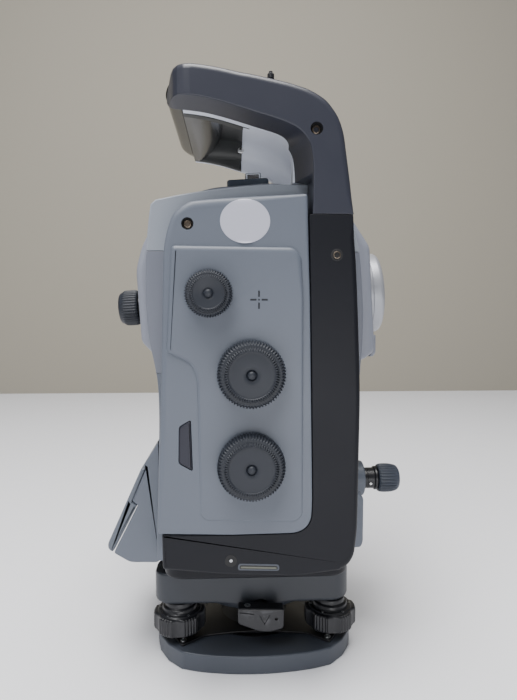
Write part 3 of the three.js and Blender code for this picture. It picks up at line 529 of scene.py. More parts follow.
# ------------------------------------------------------------------ tribrach head
hull = []
for a in (90, 210, 330):
    for t in range(-58, 59, 8):
        cx, cy = polar(SR, a); dx, dy = polar(12, a + t)
        hull.append((cx + dx, cy + dy))
padp = soft([(-50, -38, 0), (-56, -43.0, 0.5), (-64.3, -42.8, 4), (-70.3, -37, 4), (-70.4, -22, 4), (-64, -12.3, 3), (-50, -10, 0.5)], 6)
def reach(poly, t):
    """Distance from the axis to the outline of a polygon in direction t."""
    dx, dy = math.cos(t), math.sin(t); best = 0.0
    for i in range(len(poly)):
        (x1, y1), (x2, y2) = poly[i], poly[(i + 1) % len(poly)]
        ex, ey = x2 - x1, y2 - y1
        den = dx * ey - dy * ex
        if abs(den) < 1e-9: continue
        r = (x1 * ey - y1 * ex) / den; u = (x1 * dy - y1 * dx) / den
        if r > 0 and -1e-9 <= u <= 1 + 1e-9: best = max(best, r)
    return best
NH = 360
head_r = []
for j in range(NH):
    t = 2 * math.pi * j / NH
    h, p_ = reach(hull, t), reach(padp, t)
    head_r.append(max((h ** 16 + 47.9 ** 16) ** (1 / 16) if h > 40 else 47.9, p_))
hp = [(20, 36), (41, 35.4), (44.6, 36.6), (46.4, 38.2), (47.4, 40.1), (97.0, 40.2), (98.3, 40.45), (99.4, 41.4), (100, 43.2), (100, 60.2), (99.65, 61.2), (98.7, 61.85), (37.2, 61.85), (36.6, 61.3), (36.6, 54.6), (33.8, 54.6), (33.8, 45.4), (20, 45.4)]
def headmod(t, i, r, h):
    if 5 <= i <= 11:
        R = head_r[int(round(t / (2 * math.pi) * NH)) % NH]
        return max(R + r - 100, 47.5 + 0.02 * i), h
    return r, h
# the head takes the darker copy of the tribrach paint: painted shade
head = lathe("head", hp, "z", (0, 0, 0), NH, DARK_SHADED_HEAD, mod=headmod, close=True, angle=32)
head = cut(head, cyl("c", 4.9, -56, -30, "y", (3, 0, 41), 40), *[cyl("c", 7, 36, 57, "z", (*polar(SR, a), 0), 48) for a in SCR.values()])
piece(head, "base", "dark_paint", "tribrach_head")
# dust caps over the screw ends
caps = []
for a in SCR.values():
    x, y = polar(SR, a)
    caps.append(lathe("cap", [(0, 61.0), (8.2, 61.0), (8.2, 61.7), (7.9, 61.95), (1.0, 61.95), (0.7, 61.6), (0, 61.6)], "z", (x, y, 0), 48, BLACK))
piece(join(caps, "screw_end_caps"), "base", "black_plastic")

# circular level
lx, ly = -55.8, 32.2
lv = lathe("level_case", [(0, 43), (9.6, 43), (10.4, 43.2), (11.2, 44.2), (11.4, 45), (11.4, 51.2), (11.1, 51.6), (11.4, 52.0), (11.4, 61.4), (11.1, 62.2), (9.6, 63.1), (8.8, 63.2), (8.3, 62.8), (8.2, 61.2), (0, 61.2)], "z", (lx, ly, 0), 80, SILVER)
piece(lv, "base", "silver", "circular_level")
gl = lathe("level_glass", [(0, 60.9), (8.0, 60.9), (8.0, 62.3), (7.6, 62.55), (3.1, 62.95), (2.95, 62.86), (2.8, 62.97), (0, 63.05)], "z", (lx, ly, 0), 64, VIAL)
piece(gl, "base", "optics")
bub = lathe("level_bubble_mark", [(2.7, 62.9), (3.2, 62.9), (3.2, 63.12), (2.7, 63.16)], "z", (lx, ly, 0), 48, MARK, close=True)
piece(bub, "base", "black_plastic")

# ------------------------------------------------------------------ footscrews
def foot(name, a):
    x, y = polar(SR, a)
    prof = [(0, 7.5), (3.2, 7.8), (4.7, 9.6), (4.8, 10.4), (4.8, 15.2), (5.4, 16.0), (11.6, 17.1), (13.6, 18.3), (16.2, 19.25), (17.4, 19.5), (18.0, 20.2), (18.3, 21.4), (18.3, 29.6), (18.0, 30.7), (17.4, 31.4), (16.4, 31.6),
            (15.6, 31.6), (15.2, 31.9), (15.0, 32.35), (14.6, 32.6), (13.4, 32.65), (13.2, 32.35), (12.9, 32.35), (12.7, 32.7), (12.3, 33.1), (12.0, 33.5), (12.0, 35.0), (11.6, 35.6), (10.6, 35.75), (10.3, 36.1), (10.2, 36.6),
            (10.2, 38.6), (9.8, 39.3), (9.2, 39.5), (6.6, 39.5), (6.1, 39.8), (6.1, 55.6), (5.6, 56.3), (0, 56.3)]
    ph = math.radians(a + 15)
    def mod(t, i, r, h):
        if 9 <= i <= 15:
            u = ((t - ph) % (math.pi / 3)) / (math.pi / 3)
            k = 1.0 if 10 <= i <= 14 else 0.55
            if u < 0.52:   # ribbed grip
                r -= 0.62 * k * (1 - wave(2 * math.pi * u / 0.52 * 4.5)) * (1 if 0.02 < u < 0.50 else 0.4)
            else:          # smooth hollow
                v = (u - 0.52) / 0.48
                r -= 1.9 * k * math.sin(math.pi * v) ** 0.8
        return r, h
    ob = lathe(f"footscrew_{name}_knob", prof, "z", (x, y, 0), 432, BLACK, mod=mod, angle=50)
    piece(ob, f"footscrew_{name}", "black_plastic", f"footscrew_{name}")
    dots = []
    for k in range(6):
        px, py = polar(14.0, a + 15 + 60 * k + 15)
        dots.append(lathe("d", [(0, 31.9), (0.9, 31.9), (0.9, 32.66), (0.65, 32.68), (0.6, 32.5), (0, 32.5)], "z", (x + px, y + py, 0), 20, STEEL))
    piece(join(dots, f"footscrew_{name}_marks"), f"footscrew_{name}", "steel")
for nme, ang in SCR.items(): foot(nme, ang)

# ------------------------------------------------------------------ lock lever
lo_ = soft([(-12.6, 46.3, 1.6), (-12.8, 35.2, 2.2), (2.4, 29.3, 3), (9.4, 29.2, 2.5), (17.9, 31.4, 2.2), (18.1, 45.1, 1.8)], 6)
lock = edged("lock_lever", lo_, "y", -52.0, -60.3, (0.6, 0.6), (1.7, 1.3), BLACK, seg=4)
lock = weld(lock, cyl("c", 4.1, -53, -36.4, "y", (3, 0, 41), 48))
tri = slab("c", soft([(1.4, 41.2, 0.5), (8.8, 41.2, 0.5), (5.1, 34.4, 0.5)], 4), "y", -59.5, -62, 0, 0, BLACK)
line1 = slab("c", [(-11.6, 43.6), (-11.5, 42.9), (-2.2, 41.6), (-2.1, 42.3)], "y", -59.7, -62, 0, 0, BLACK)
lock = cut(lock, tri, cyl("c", 1.1, -62, -58.5, "y", (12.9, 0, 38.4), 24), line1)
bevel(lock, 0.18, 2, 45)
piece(lock, "lock_knob", "black_plastic", "lock_knob")
ls = lathe("lock_lever_screw", [(0, 45.2), (2.2, 45.2), (2.2, 46.2), (1.9, 46.5), (0.9, 46.55), (0.85, 46.0), (0, 45.9)], "z", (-6.3, -56.2, 0), 28, STEEL)
piece(ls, "lock_knob", "steel")

# ------------------------------------------------------------------ instrument foot
fl = lathe("foot_flange", [(8, 55.2), (34.9, 55.2), (35.3, 55.6), (35.3, 61.2), (34.9, 61.7), (22.6, 61.7), (22, 62.2), (22, 65.2), (21.6, 65.6), (8, 65.6)], "z", (0, 0, 0), 120, STEEL, close=True)
st = []
for a in (30, 150, 270):
    st.append(lathe("stud", [(0, 47.1), (1.8, 47.1), (2.4, 47.8), (2.4, 50.4), (1.9, 50.8), (1.9, 53), (2.4, 53.4), (2.4, 55.6), (0, 55.6)], "z", (*polar(28.6, a), 0), 32, STEEL))
piece(join([fl] + st, "instrument_foot"), "base", "steel", "instrument_flange")

# ------------------------------------------------------------------ alidade base and lower housing
ab = edged("alidade_base_body", soft([(-62, -61.5, 16), (62, -61.5, 16), (62, 61.5, 16), (-62, 61.5, 16)], 10), "z", 66.4, 79.9, (3.4, 2.6), (0.8, 0.8), DARK, seg=6)
ab = cut(ab, cyl("c", 22.5, 60, 90, "z", (0, 0, 0), 72), tube("c", 40, 41.2, 60, 67.2, "z", (0, 0, 0), 90, e=0.01))
bevel(ab, 0.3, 2, 50)
piece(ab, "alidade", "dark_paint", "alidade_base")

ho = soft([(-63.9, 80.3, 2), (63.9, 80.3, 2), (63.9, 157.6, 2), (57, 157.6, 4), (48, 150, 5), (35, 146, 10), (-35, 146, 10), (-48, 150, 5), (-57, 157.6, 4), (-63.9, 157.6, 2)], 5)
lh = slab("lower_housing_shell", ho, "y", -47.9, 47.9, 0.8, 0.8, LIGHT, seg=3)
lh = cut(lh, cyl("c", 42.5, 79, 112, "z", (0, 0, 0), 72), cyl("c", 13, 108, 121, "z", (0, 0, 0), 40), cyl("c", 7.2, 20, 70, "x", (0, 0, PLZ), 40))
# a serial plate recess on the saddle
lh = cut(lh, slab("c", soft([(-20, -14, 2), (20, -14, 2), (20, 14, 2), (-20, 14, 2)], 4), "z", 145.2, 150, 0, 0, LIGHT))
bevel(lh, 0.3, 2, 50)
piece(lh, "alidade", "light_paint", "lower_housing")
sp = slab("saddle_plate", soft([(-19.7, -13.7, 2), (19.7, -13.7, 2), (19.7, 13.7, 2), (-19.7, 13.7, 2)], 4), "z", 144.8, 145.75, 0, 0.2, SILVER, seg=2)
piece(sp, "alidade", "silver")

# second face: display, key and plummet boss
f2 = edged("face2_shell", soft([(64.3, 80.4, 0.5), (71.8, 80.4, 1.5), (73.6, 84, 2), (73.6, 115, 1.5), (71.6, 117.4, 1.5), (68.6, 119.8, 1.5), (67.6, 155.8, 1.2), (64.3, 157.6, 0.5)], 5), "y", -47.9, 47.9, (1.2, 1.2), (1.2, 1.2), LIGHT, seg=4)
bz = lathe("c", [(0, 66), (14.6, 66), (13.4, 74.2), (13.2, 75), (13.2, 82.4), (12.9, 83.2), (12.3, 83.6), (0, 83.6)], "x", (0, 0, PLZ), 72, LIGHT)
f2 = weld(f2, bz)
f2 = cut(f2, cyl("c", 7.2, 60, 90, "x", (0, 0, PLZ), 48), slab("c", soft([(-40, 129.4, 3), (14, 129.4, 3), (14, 154.4, 3), (-40, 154.4, 3)], 5), "x", 67.2, 75, 0, 0, LIGHT),
         slab("c", soft([(17, 134.6, 2.5), (31, 134.6, 2.5), (31, 149.4, 2.5), (17, 149.4, 2.5)], 5), "x", 67.3, 75, 0, 0, LIGHT))
bevel(f2, 0.25, 2, 50)
piece(f2, "alidade", "light_paint", "face2_housing")
dsp = []
dsp.append(edged("dframe", soft([(-39.7, 129.7, 3), (13.7, 129.7, 3), (13.7, 154.1, 3), (-39.7, 154.1, 3)], 5), "x", 66.6, 69.6, 0, (0.8, 0.6), BLACK, seg=3))
dsp.append(edged("dglass", soft([(-37.6, 131.4, 1.5), (11.6, 131.4, 1.5), (11.6, 152.6, 1.5), (-37.6, 152.6, 1.5)], 5), "x", 69.0, 70.2, 0, (0.3, 0.2), SCREEN, seg=2))
# plain rows of dark cells on the screen
for r_ in range(4):
    z = 149.0 - r_ * 4.6
    dsp.append(slab("row", [(-34, z - 1.0), (-34 + (34, 26, 38, 20)[r_], z - 1.0), (-34 + (34, 26, 38, 20)[r_], z + 1.0), (-34, z + 1.0)], "x", 70.05, 70.3, 0, 0, MARK))
piece(join(dsp, "face2_display_unit"), "alidade", "screen", "face2_display")
k2 = edged("face2_key_cap", soft([(18, 136, 2.5), (30, 136, 2.5), (30, 148, 2.5), (18, 148, 2.5)], 6), "x", 68.4, 71.0, 0, (1.2, 0.9), KEY, seg=4)
k2 = cut(k2, tube("c", 2.4, 2.9, 70.6, 73, "x", (0, 24, 142), 40, e=0.01))
piece(k2, "face2_key", "rubber_grey", "face2_key")

# ------------------------------------------------------------------ control unit bracket
cb = edged("bracket_body", soft([(-64.4, 156.8, 0.5), (-75.5, 139.6, 0.6), (-73.5, 138.2, 0.5), (-83.5, 115.8, 0.6), (-79.7, 112.3, 0.6), (-94.7, 82.9, 0.8), (-96.1, 79.8, 1.5), (-85.3, 73.1, 3), (-67, 72.7, 2), (-64.4, 75, 0.5)], 4), "y", -47.8, 47.8, (1.1, 1.1), (1.1, 1.1), LIGHT, seg=4)
piece(cb, "alidade", "light_paint", "control_bracket")
pp = edged("bracket_plate", soft([(-77, 137.8, 1.2), (-100.2, 85.9, 2.5), (-99.8, 82.4, 1.5), (-97.0, 80.3, 1.2), (-95.2, 83.0, 0.5), (-80.2, 112.2, 0.5), (-84.1, 115.6, 0.5), (-74.2, 137.3, 0.8)], 5), "y", -47.8, 47.8, (1.6, 1.6), (1.6, 1.6), PLATE, seg=5)
U = Vector((-77 + 100.4, 138 - 85.8)); U.normalize()          # up the sloping face
NO = Vector((-U.y, U.x))                                        # outwards
FC = Vector((-88.7, 111.9))
def onface(u, w, d):
    p = FC + U * u + NO * d
    return (p.x, w, p.y)
def facebox(u0, u1, w0, w1, d0, d1, r=1.0, mat=None, e=0.0):
    o = soft([(u0, w0, r), (u1, w0, r), (u1, w1, r), (u0, w1, r)], 4)
    return edged("fb", o, "z", d0, d1, 0, (e, e) if e else 0, mat or LIGHT_LIT_LINER, xf=lambda q: W(onface(q[0], q[1], q[2])), seg=3)
pp = cut(pp, facebox(-20, 20, -40, 40, -1.2, 3, 4), facebox(-14, 14, -13, 13, -2.6, 3, 2), *[facebox(sx * 22.5 - 1.9, sx * 22.5 + 1.9, sy * 43 - 1.9, sy * 43 + 1.9, -2.4, 3, 1.8) for sx in (-1, 1) for sy in (-1, 1)])
bevel(pp, 0.3, 2, 50)
piece(pp, "alidade", "light_paint", "bracket_panel")
cn = [facebox(-13.6, 13.6, -12.6, 12.6, -2.6, -1.7, 2, BLACK, 0.2)]
for i in range(5):
    for j in range(2):
        u, w = -4 + j * 8, -8 + i * 4
        cn.append(facebox(u - 1.1, u + 1.1, w - 1.1, w + 1.1, -1.75, -1.3, 1.05, GOLD, 0.15))
piece(join(cn, "contact_block"), "alidade", "black_plastic")
rb = [facebox(-17, -15, -38, 38, -1.3, -0.5, 0.9, RUBBER, 0.3), facebox(15, 17, -38, 38, -1.3, -0.5, 0.9, RUBBER, 0.3)]
rb += [facebox(sx * 22.5 - 1.7, sx * 22.5 + 1.7, sy * 43 - 1.7, sy * 43 + 1.7, -2.4, -0.9, 1.65, STEEL, 0.3) for sx in (-1, 1) for sy in (-1, 1)]
piece(join(rb, "bracket_seals_and_pins"), "alidade", "rubber_grey")
rk = slab("release_key_pad", soft([(-81.9, -8.9, 2), (-70.1, -8.9, 2), (-70.1, 8.9, 2), (-81.9, 8.9, 2)], 5), "z", 72.2, 69.7, 0.1, 0.7, BLACK, seg=3)
rk = cut(rk, *[slab("c", [(-80 + k * 2.2, -7), (-79.2 + k * 2.2, -7), (-79.2 + k * 2.2, 7), (-80 + k * 2.2, 7)], "z", 69, 70.1, 0, 0, BLACK) for k in range(5)])
piece(rk, "bracket_release_key", "black_plastic", "bracket_release_key")

# ------------------------------------------------------------------ standards: lower cheek, upper cheek, cap
so_ = [(-65.4, 80.3), (-65.2, 100), (-63.8, 140), (-62.9, 173), (-63.4, 195), (-65.4, 208.6), (-68.7, 225.5), (-70, 243.3), (-70.4, 256), (-69.7, 276.5), (-68.7, 293.3), (-66.7, 309),
       (-63.5, 312), (-42, 316.4), (-17, 320), (2, 321.5), (21, 322.2), (44, 321), (54, 315), (60, 304), (62.8, 292.3), (66.1, 275.3), (68.4, 244), (68.2, 222), (66.6, 200), (63.4, 170), (62.6, 100), (62, 80.3)]
so_ = [(x * 0.998, z) for x, z in fair(so_, {0, 11, 12, 27}, 4)]
for s, nm in ((-1, "near"), (1, "far")):
    y0, y1 = s * 48.45, s * 61.6
    parts = []
    # the cheek and cap bands take brighter copies of the light paint: painted light
    for k, (z0, z1, m) in enumerate(((80.5, 202.9, LIGHT), (203.2, 280.0, LIGHT_LIT_CHEEK), (280.35, 321.9, LIGHT_LIT_CAP))):
        o = clip(clip(so_, z0, True), z1, False)
        E = [(1.1, 1.1) if (abs(p[1] - z0) > 0.5 and abs(p[1] - z1) > 0.5) else (0.3, 0.3) for p in o]
        p = edged("std", o, "y", y0, y1, [(2.2, 2.2) if e[0] > 0.5 else (0.3, 0.3) for e in E], E, m, seg=4)
        p = cut(p, cyl("c", 17, -100, 100, "y", (0, 0, 251), 72)) if k == 1 else p
        parts.append(p)
    core = slab("core", clip(clip(inset(ccw(so_), 0.9), 82, True), 319, False), "y", y0 + s * 1, y1 - s * 1, 0, 0, BLACK)
    core = cut(core, cyl("c", 17, -100, 100, "y", (0, 0, 251), 72))
    parts.append(core)
    piece(join(parts, f"standard_{nm}_shells"), "alidade", "light_paint", f"{nm}_standard")
    # screws of the cap, and of the inner wall
    sc = []
    for x, z in ((-52, 299), (44, 306), (-52, 92), (48, 92), (-52, 190), (52, 190)):
        sc.append(lathe("c", [(0, 0), (2.6, 0), (2.6, 0.5), (2.2, 0.85), (1.3, 0.9), (1.2, 0.1), (0, 0.05)], "y", (x, s * 48.75, z), 28, SCREW,
                        mod=lambda t, i, r, h: ((r if i < 4 or r == 0 else r / max(0.866, math.cos((t + math.pi / 6) % (math.pi / 3) - math.pi / 6))), -s * h)))
    piece(join(sc, f"standard_{nm}_screws"), "alidade", "steel")
    br = lathe(f"bearing_{nm}_race", [(12.6, 49.1), (13.4, 49.1), (13.6, 49.5), (14.6, 49.5), (14.8, 49.1), (16.0, 49.1), (16.1, 49.3), (16.1, 60.8), (12.6, 60.9)], "y", (0, 0, 251), 80, STEEL, mod=lambda t, i, r, h: (r, s * h), close=True)
    piece(br, "alidade", "steel", f"trunnion_bearing_{nm}")

# ------------------------------------------------------------------ near cover
cover_pts = [(-60.6, 109.3), (-59.8, 147), (-58.6, 178), (-56.6, 249), (-55.7, 278), (-54.4, 286.5), (-50.9, 298), (-45.6, 303.6), (-39.9, 306.5), (-28.4, 307.8), (-5.2, 309.4), (28.7, 311.2), (30.3, 249), (31.3, 189), (32.2, 128), (31.7, 117), (28.7, 111.5), (22.5, 108.5), (-16.9, 108)]
cover_o = soft([(*p, c) for p, c in zip(cover_pts, (2, 3, 3, 3, 8, 8, 9, 7, 7, 6, 6, 2, 3, 3, 4, 6, 6, 4, 2))], 5)
def lean(q):   # the face leans in towards the top
    f = min(1.0, max(0.0, (-q[1] - 64.0) / 24.0))
    q[1] += f * (1.75 - 2.3 * min(1.0, max(0.0, (309 - q[2]) / 200.0)))
    return q
def cover_edges(o):
    E = []
    for x, z in o:
        top = max(0, min(1, (z - 280) / 24)); left = max(0, min(1, (-30 - x) / 20)) * max(0, min(1, (z - 108) / 8))
        right = max(0, min(1, (x - 20) / 8)); bottom = max(0, min(1, (118 - z) / 8))
        w = 1.0 + 3.4 * max(top * (1 - right * 0.6), left * 0.82)
        if bottom > 0.5: w = 1.0 + 1.4 * left
        if right > 0.5 and z < 290: w = 0.9
        E.append((w, min(w * 0.62, 2.6)))
    return E
nc = edged("cover", cover_o, "y", -62.2, -88.0, (0.4, 0.4), cover_edges(cover_o), LIGHT, seg=6, shift=lean)
pad_pts = [(-54.4, 218.4, 1.5), (-40.4, 212.0, 5), (-36.6, 202.5, 5), (-35.4, 120.8, 4), (-32.2, 117.2, 3), (22.4, 115.5, 4), (26.6, 119.6, 4), (26, 249, 3), (25.2, 274.0, 5), (20.9, 279.8, 5), (-51.2, 280.6, 3)]
pad_o = soft(pad_pts, 6)
inner = [(-13.5 + (x + 13.5) * 0.9, 209 + (z - 209) * 0.955) for x, z in cover_o]
nc = cut(nc, slab("c", inner, "y", -60, -84.4, 0, 0, LIGHT))
def pad_edges(o):
    E = []
    for x, z in o:
        if z > 268: E.append((3.4, 2.3))
        elif z > 205 and x < -36: E.append((2.6, 1.5))
        elif x < -30 and z > 122: E.append((2.2, 1.1))
        elif x > 22 and z > 122: E.append((1.6, 1.0))
        else: E.append((1.1, 0.6))
    return E
padb = edged("c", inset(ccw(pad_o), 0.02), "y", -84.6, -88.9, (0, 0), pad_edges(inset(ccw(pad_o), 0.02)), LIGHT, seg=5)
trig_pts = [(-47.95, 151.9, 1.8), (-39.35, 147.0, 1.8), (-40.35, 178.3, 1.8), (-47.55, 174.1, 1.8)]
tools = [slab("c", soft(trig_pts, 6), "y", -80, -95, 0, 0, LIGHT)]
FK, VK, HK = (-29.2, 252.5), (-4.6, 205.8), (-4.7, 151.0)
def sunk(x, z, r0, r1, y0):   # shallow dish turned round each knob stem
    return lathe("c", [(0, -96), (r1 + 0.8, -96), (r1, y0), (r0, y0 + 0.7), (4.7, y0 + 0.7), (4.7, -60), (0, -60)], "y", (x, 0, z), 72, LIGHT)
nc = weld(nc, padb)
nc = cut(nc, *tools, sunk(*FK, 10, 11.0, -88.4), sunk(*VK, 15.4, 16.4, -88.4), sunk(*HK, 15.4, 16.4, -88.4), cyl("c", 3.6, -92, -84.4, "y", (-41.6, 0, 293.2), 48), cyl("c", 26.3, -69, -60, "y", (0, 0, 251), 72))
# sighting cross that marks the trunnion axis
for dx, dz in ((1, 0), (-1, 0), (0, 1), (0, -1)):
    cx, cz = dx * 3.3, 249.1 + dz * 3.5
    w, h = (1.85, 0.55) if dx else (0.55, 1.85)
    nc = cut(nc, slab("c", [(cx - w, cz - h), (cx + w, cz - h), (cx + w, cz + h), (cx - w, cz + h)], "y", -88.45, -90, 0, 0, LIGHT))
piece(nc, "alidade", "light_paint", "near_cover")
cr = []
for dx, dz in ((1, 0), (-1, 0), (0, 1), (0, -1)):
    cx, cz = dx * 3.3, 249.1 + dz * 3.5
    w, h = (1.82, 0.52) if dx else (0.52, 1.82)
    cr.append(slab("c", [(cx - w, cz - h), (cx + w, cz - h), (cx + w, cz + h), (cx - w, cz + h)], "y", -88.3, -88.86, 0, 0.08, MARK, seg=2))
cr.append(lathe("c", [(0, -88.6), (0.55, -88.6), (0.55, -88.95), (0, -89.0)], "y", (0, 0, 249.1), 16, MARK))
piece(join(cr, "axis_mark"), "alidade", "black_plastic")
# painted shade: a near-black ring in the gap round the trigger key, where shade falls
trigger_gap_shade = edged("trigger_gap_painted_shade", soft(trig_pts, 6), "y", -81.6, -86.4, (0, 0), (0.1, 0.1), RECESS_SHADE, seg=2, shift=None)
trigger_gap_shade = cut(trigger_gap_shade, slab("c", inset(ccw(soft([(-47.75, 152.2, 1.6), (-39.55, 147.4, 1.6), (-40.55, 177.9, 1.6), (-47.35, 173.8, 1.6)], 6)), -0.05), "y", -80, -95, 0, 0, RECESS_SHADE))
piece(trigger_gap_shade, "alidade", "black_plastic")
def tshift(q):
    return q
trig = edged("trigger_pad", soft([(-47.6, 152.4, 1.6), (-39.7, 147.7, 1.6), (-40.7, 177.7, 1.6), (-47.2, 173.6, 1.6)], 6), "y", -82.2, -88.5, 0, (0.9, 0.6), KEY, seg=5)
piece(trig, "trigger_key", "rubber_grey", "trigger_key")
piece(screw("cover_screw", -41.6, 293.2, -83.9, -1, 2.4, SCREW, 1.2), "alidade", "steel")
# painted shade: a near-black ring lining the cover screw's recess
rim = lathe("cover_screw_recess_painted_shade", [(2.6, -84.45), (3.58, -84.45), (3.58, -86.1), (3.3, -86.2), (2.6, -84.9)], "y", (-41.6, 0, 293.2), 48, RECESS_SHADE, close=True)
piece(rim, "alidade", "black_plastic")

# plain round label on the upper edge of the cover
def on_cover(q):
    x, z = q[0], q[2]
    # follow ledge, flat and upper rounding
    y = -88.0 + 1.75 - 2.3 * min(1.0, max(0.0, (309 - z) / 200.0))
    if z < 283.0:
        t = (283.0 - z) / 3.2
        y -= 1.55 * min(1, max(0, t)) ** 0.8
    top = 309.35 + (x + 5) * 0.03
    if z > top - 4.2:
        t = (z - (top - 4.2)) / 4.2
        y += 2.3 * (1 - math.sqrt(max(0.0, 1 - t * t)))
    q[1] = y - q[1] * 1.0
    return q
lv_, lf_ = [], []
LR, LX, LZ = 14.7, -8.0, 294.9
rr = [0.0] + [LR * k / 14 for k in range(1, 15)]
n_ = 96
def lab_pt(r, t, d):
    q = [LX + r * math.cos(t), d, min(LZ + 0.88 * r * math.sin(t), 309.2)]
    return tuple(on_cover(q))
for side, d in ((0, 0.16), (1, -0.25)):
    for k, r in enumerate(rr):
        for j in range(n_):
            rj = r if not (side == 0 and k == 14) else r - 0.12
            lv_.append(lab_pt(rj, 2 * math.pi * j / n_, d))
m_ = len(rr) * n_
for k in range(1, len(rr) - 1):
    for j in range(n_):
        j2 = (j + 1) % n_
        lf_.append((k * n_ + j, k * n_ + j2, (k + 1) * n_ + j2, (k + 1) * n_ + j))
        lf_.append((m_ + k * n_ + j2, m_ + k * n_ + j, m_ + (k + 1) * n_ + j, m_ + (k + 1) * n_ + j2))
for j in range(n_):
    j2 = (j + 1) % n_
    lf_.append((0, n_ + j, n_ + j2)); lf_.append((m_, m_ + n_ + j2, m_ + n_ + j))
    lf_.append((14 * n_ + j, 14 * n_ + j2, m_ + 14 * n_ + j2, m_ + 14 * n_ + j))
piece(build("blank_label", lv_, lf_, LABEL, W, 60), "alidade", "light_paint")

# drive board behind the cover
db = slab("circuit_board", soft([(-48, 128, 2), (22, 128, 2), (22, 238, 2), (-48, 238, 2)], 3), "y", -74.4, -76.0, 0, 0, BOARD)
db = cut(db, *[cyl("c", 1.7, -80, -70, "y", (x, 0, z), 20) for x, z in ((-44, 132), (18, 132), (18, 234), (-44, 234))])
dbp = [db]
for x, z, w, h, m in ((-30, 180, 9, 9, BLACK), (-12, 222, 7, 5, BLACK), (8, 178, 5, 8, BLACK), (-36, 214, 4, 6, SILVER), (10, 224, 6, 4, GOLD), (-28, 140, 5, 4, BLACK)):
    dbp.append(edged("ic", soft([(x - w, z - h, 0.8), (x + w, z - h, 0.8), (x + w, z + h, 0.8), (x - w, z + h, 0.8)], 3), "y", -76.0, -77.8, 0, (0.3, 0.3), m, seg=2))
piece(join(dbp, "drive_circuit_board"), "alidade", "board_green", "drive_board")

# ------------------------------------------------------------------ far cover with the battery door
fc = edged("cover_far", cover_o, "y", 62.2, 87.9, (0.4, 0.4), [(max(e[0] * 0.8, 1.2), max(e[1] * 0.8, 1.0)) for e in cover_edges(cover_o)], LIGHT, seg=5)
fc = cut(fc, brick("c", -41.4, 21.4, 66, 92, 121, 233, e=0, r=2), brick("c", -45.4, 25.4, 84.6, 92, 116.6, 239.4, e=0, r=0), slab("c", soft([(-38, 245, 4), (16, 245, 4), (16, 296, 4), (-38, 296, 4)], 4), "y", 58, 84, 0, 0, LIGHT))
# shallow panel line above the door
fc = cut(fc, slab("c", soft([(-46, 249, 4), (24, 249, 4), (22.5, 290, 6), (-41, 286, 6)], 5), "y", 87.2, 92, 0, 0, LIGHT))
bevel(fc, 0.25, 2, 48)
piece(fc, "alidade", "light_paint", "far_cover")
fp = edged("far_upper_panel", soft([(-45.5, 249.5, 4), (23.5, 249.5, 4), (22.0, 289.5, 6), (-40.6, 285.6, 6)], 5), "y", 86.9, 87.75, 0, (0.7, 0.5), PANEL, seg=3)
piece(fp, "alidade", "panel_paint")
bt = edged("battery_case", soft([(-40.4, 67.1, 3), (20.4, 67.1, 3), (20.4, 83.5, 3), (-40.4, 83.5, 3)], 5), "z", 122.1, 231.9, (1.2, 1.2), (1.2, 1.2), BATT, seg=3)
bt = cut(bt, *[brick("c", -28 + k * 9, -25 + k * 9, 80, 90, 150, 210, e=0) for k in range(5)], brick("c", -30, 10, 82.6, 90, 214, 226, e=0))
bevel(bt, 0.25, 2, 50)
blb = slab("battery_plate", soft([(-29.7, 214.3, 0.6), (9.7, 214.3, 0.6), (9.7, 225.7, 0.6), (-29.7, 225.7, 0.6)], 3), "y", 82.3, 82.95, 0, 0.1, PANEL, seg=2)
piece(join([bt, blb], "battery_pack"), "alidade", "battery_black", "battery")
bd = edged("door", soft([(-44.9, 117.2, 3), (24.9, 117.2, 3), (24.9, 238.8, 4), (-44.9, 238.8, 4)], 6), "y", 85.0, 87.9, (0.3, 0.3), (1.5, 1.1), PANEL, seg=4)
rp = edged("c", soft([(-29.9, 136.1, 5), (9.9, 136.1, 5), (9.9, 205.9, 5), (-29.9, 205.9, 5)], 6), "y", 87.0, 89.3, 0, (1.8, 1.3), PANEL, seg=5)
bd = weld(bd, rp)
bd = cut(bd, slab("c", soft([(-19.1, 221.4, 3), (-0.9, 221.4, 3), (-0.9, 235.1, 3), (-19.1, 235.1, 3)], 5), "y", 86.4, 92, 0, 0, PANEL),
         *[slab("c", soft([(-25, 142 + k * 6, 0.9), (5, 142 + k * 6, 0.9), (5, 143.9 + k * 6, 0.9), (-25, 143.9 + k * 6, 0.9)], 3), "y", 88.5, 92, 0, 0, PANEL) for k in range(10)])
bevel(bd, 0.25, 2, 48)
piece(bd, "battery_door", "panel_paint", "battery_door")
dl = edged("latch", soft([(-18.6, 224.0, 2.4), (-1.4, 224.0, 2.4), (-1.4, 234.6, 2.4), (-18.6, 234.6, 2.4)], 6), "y", 86.8, 90.9, (0.1, 0.1), (1.1, 0.9), BLACK, seg=4)
dl = cut(dl, *[slab("c", [(-16, 226.4 + k * 2.1), (-4, 226.4 + k * 2.1), (-4, 227.2 + k * 2.1), (-16, 227.2 + k * 2.1)], "y", 90.3, 92, 0, 0, BLACK) for k in range(4)])
bevel(dl, 0.15, 1, 48)
piece(dl, "door_latch", "black_plastic", "door_latch")

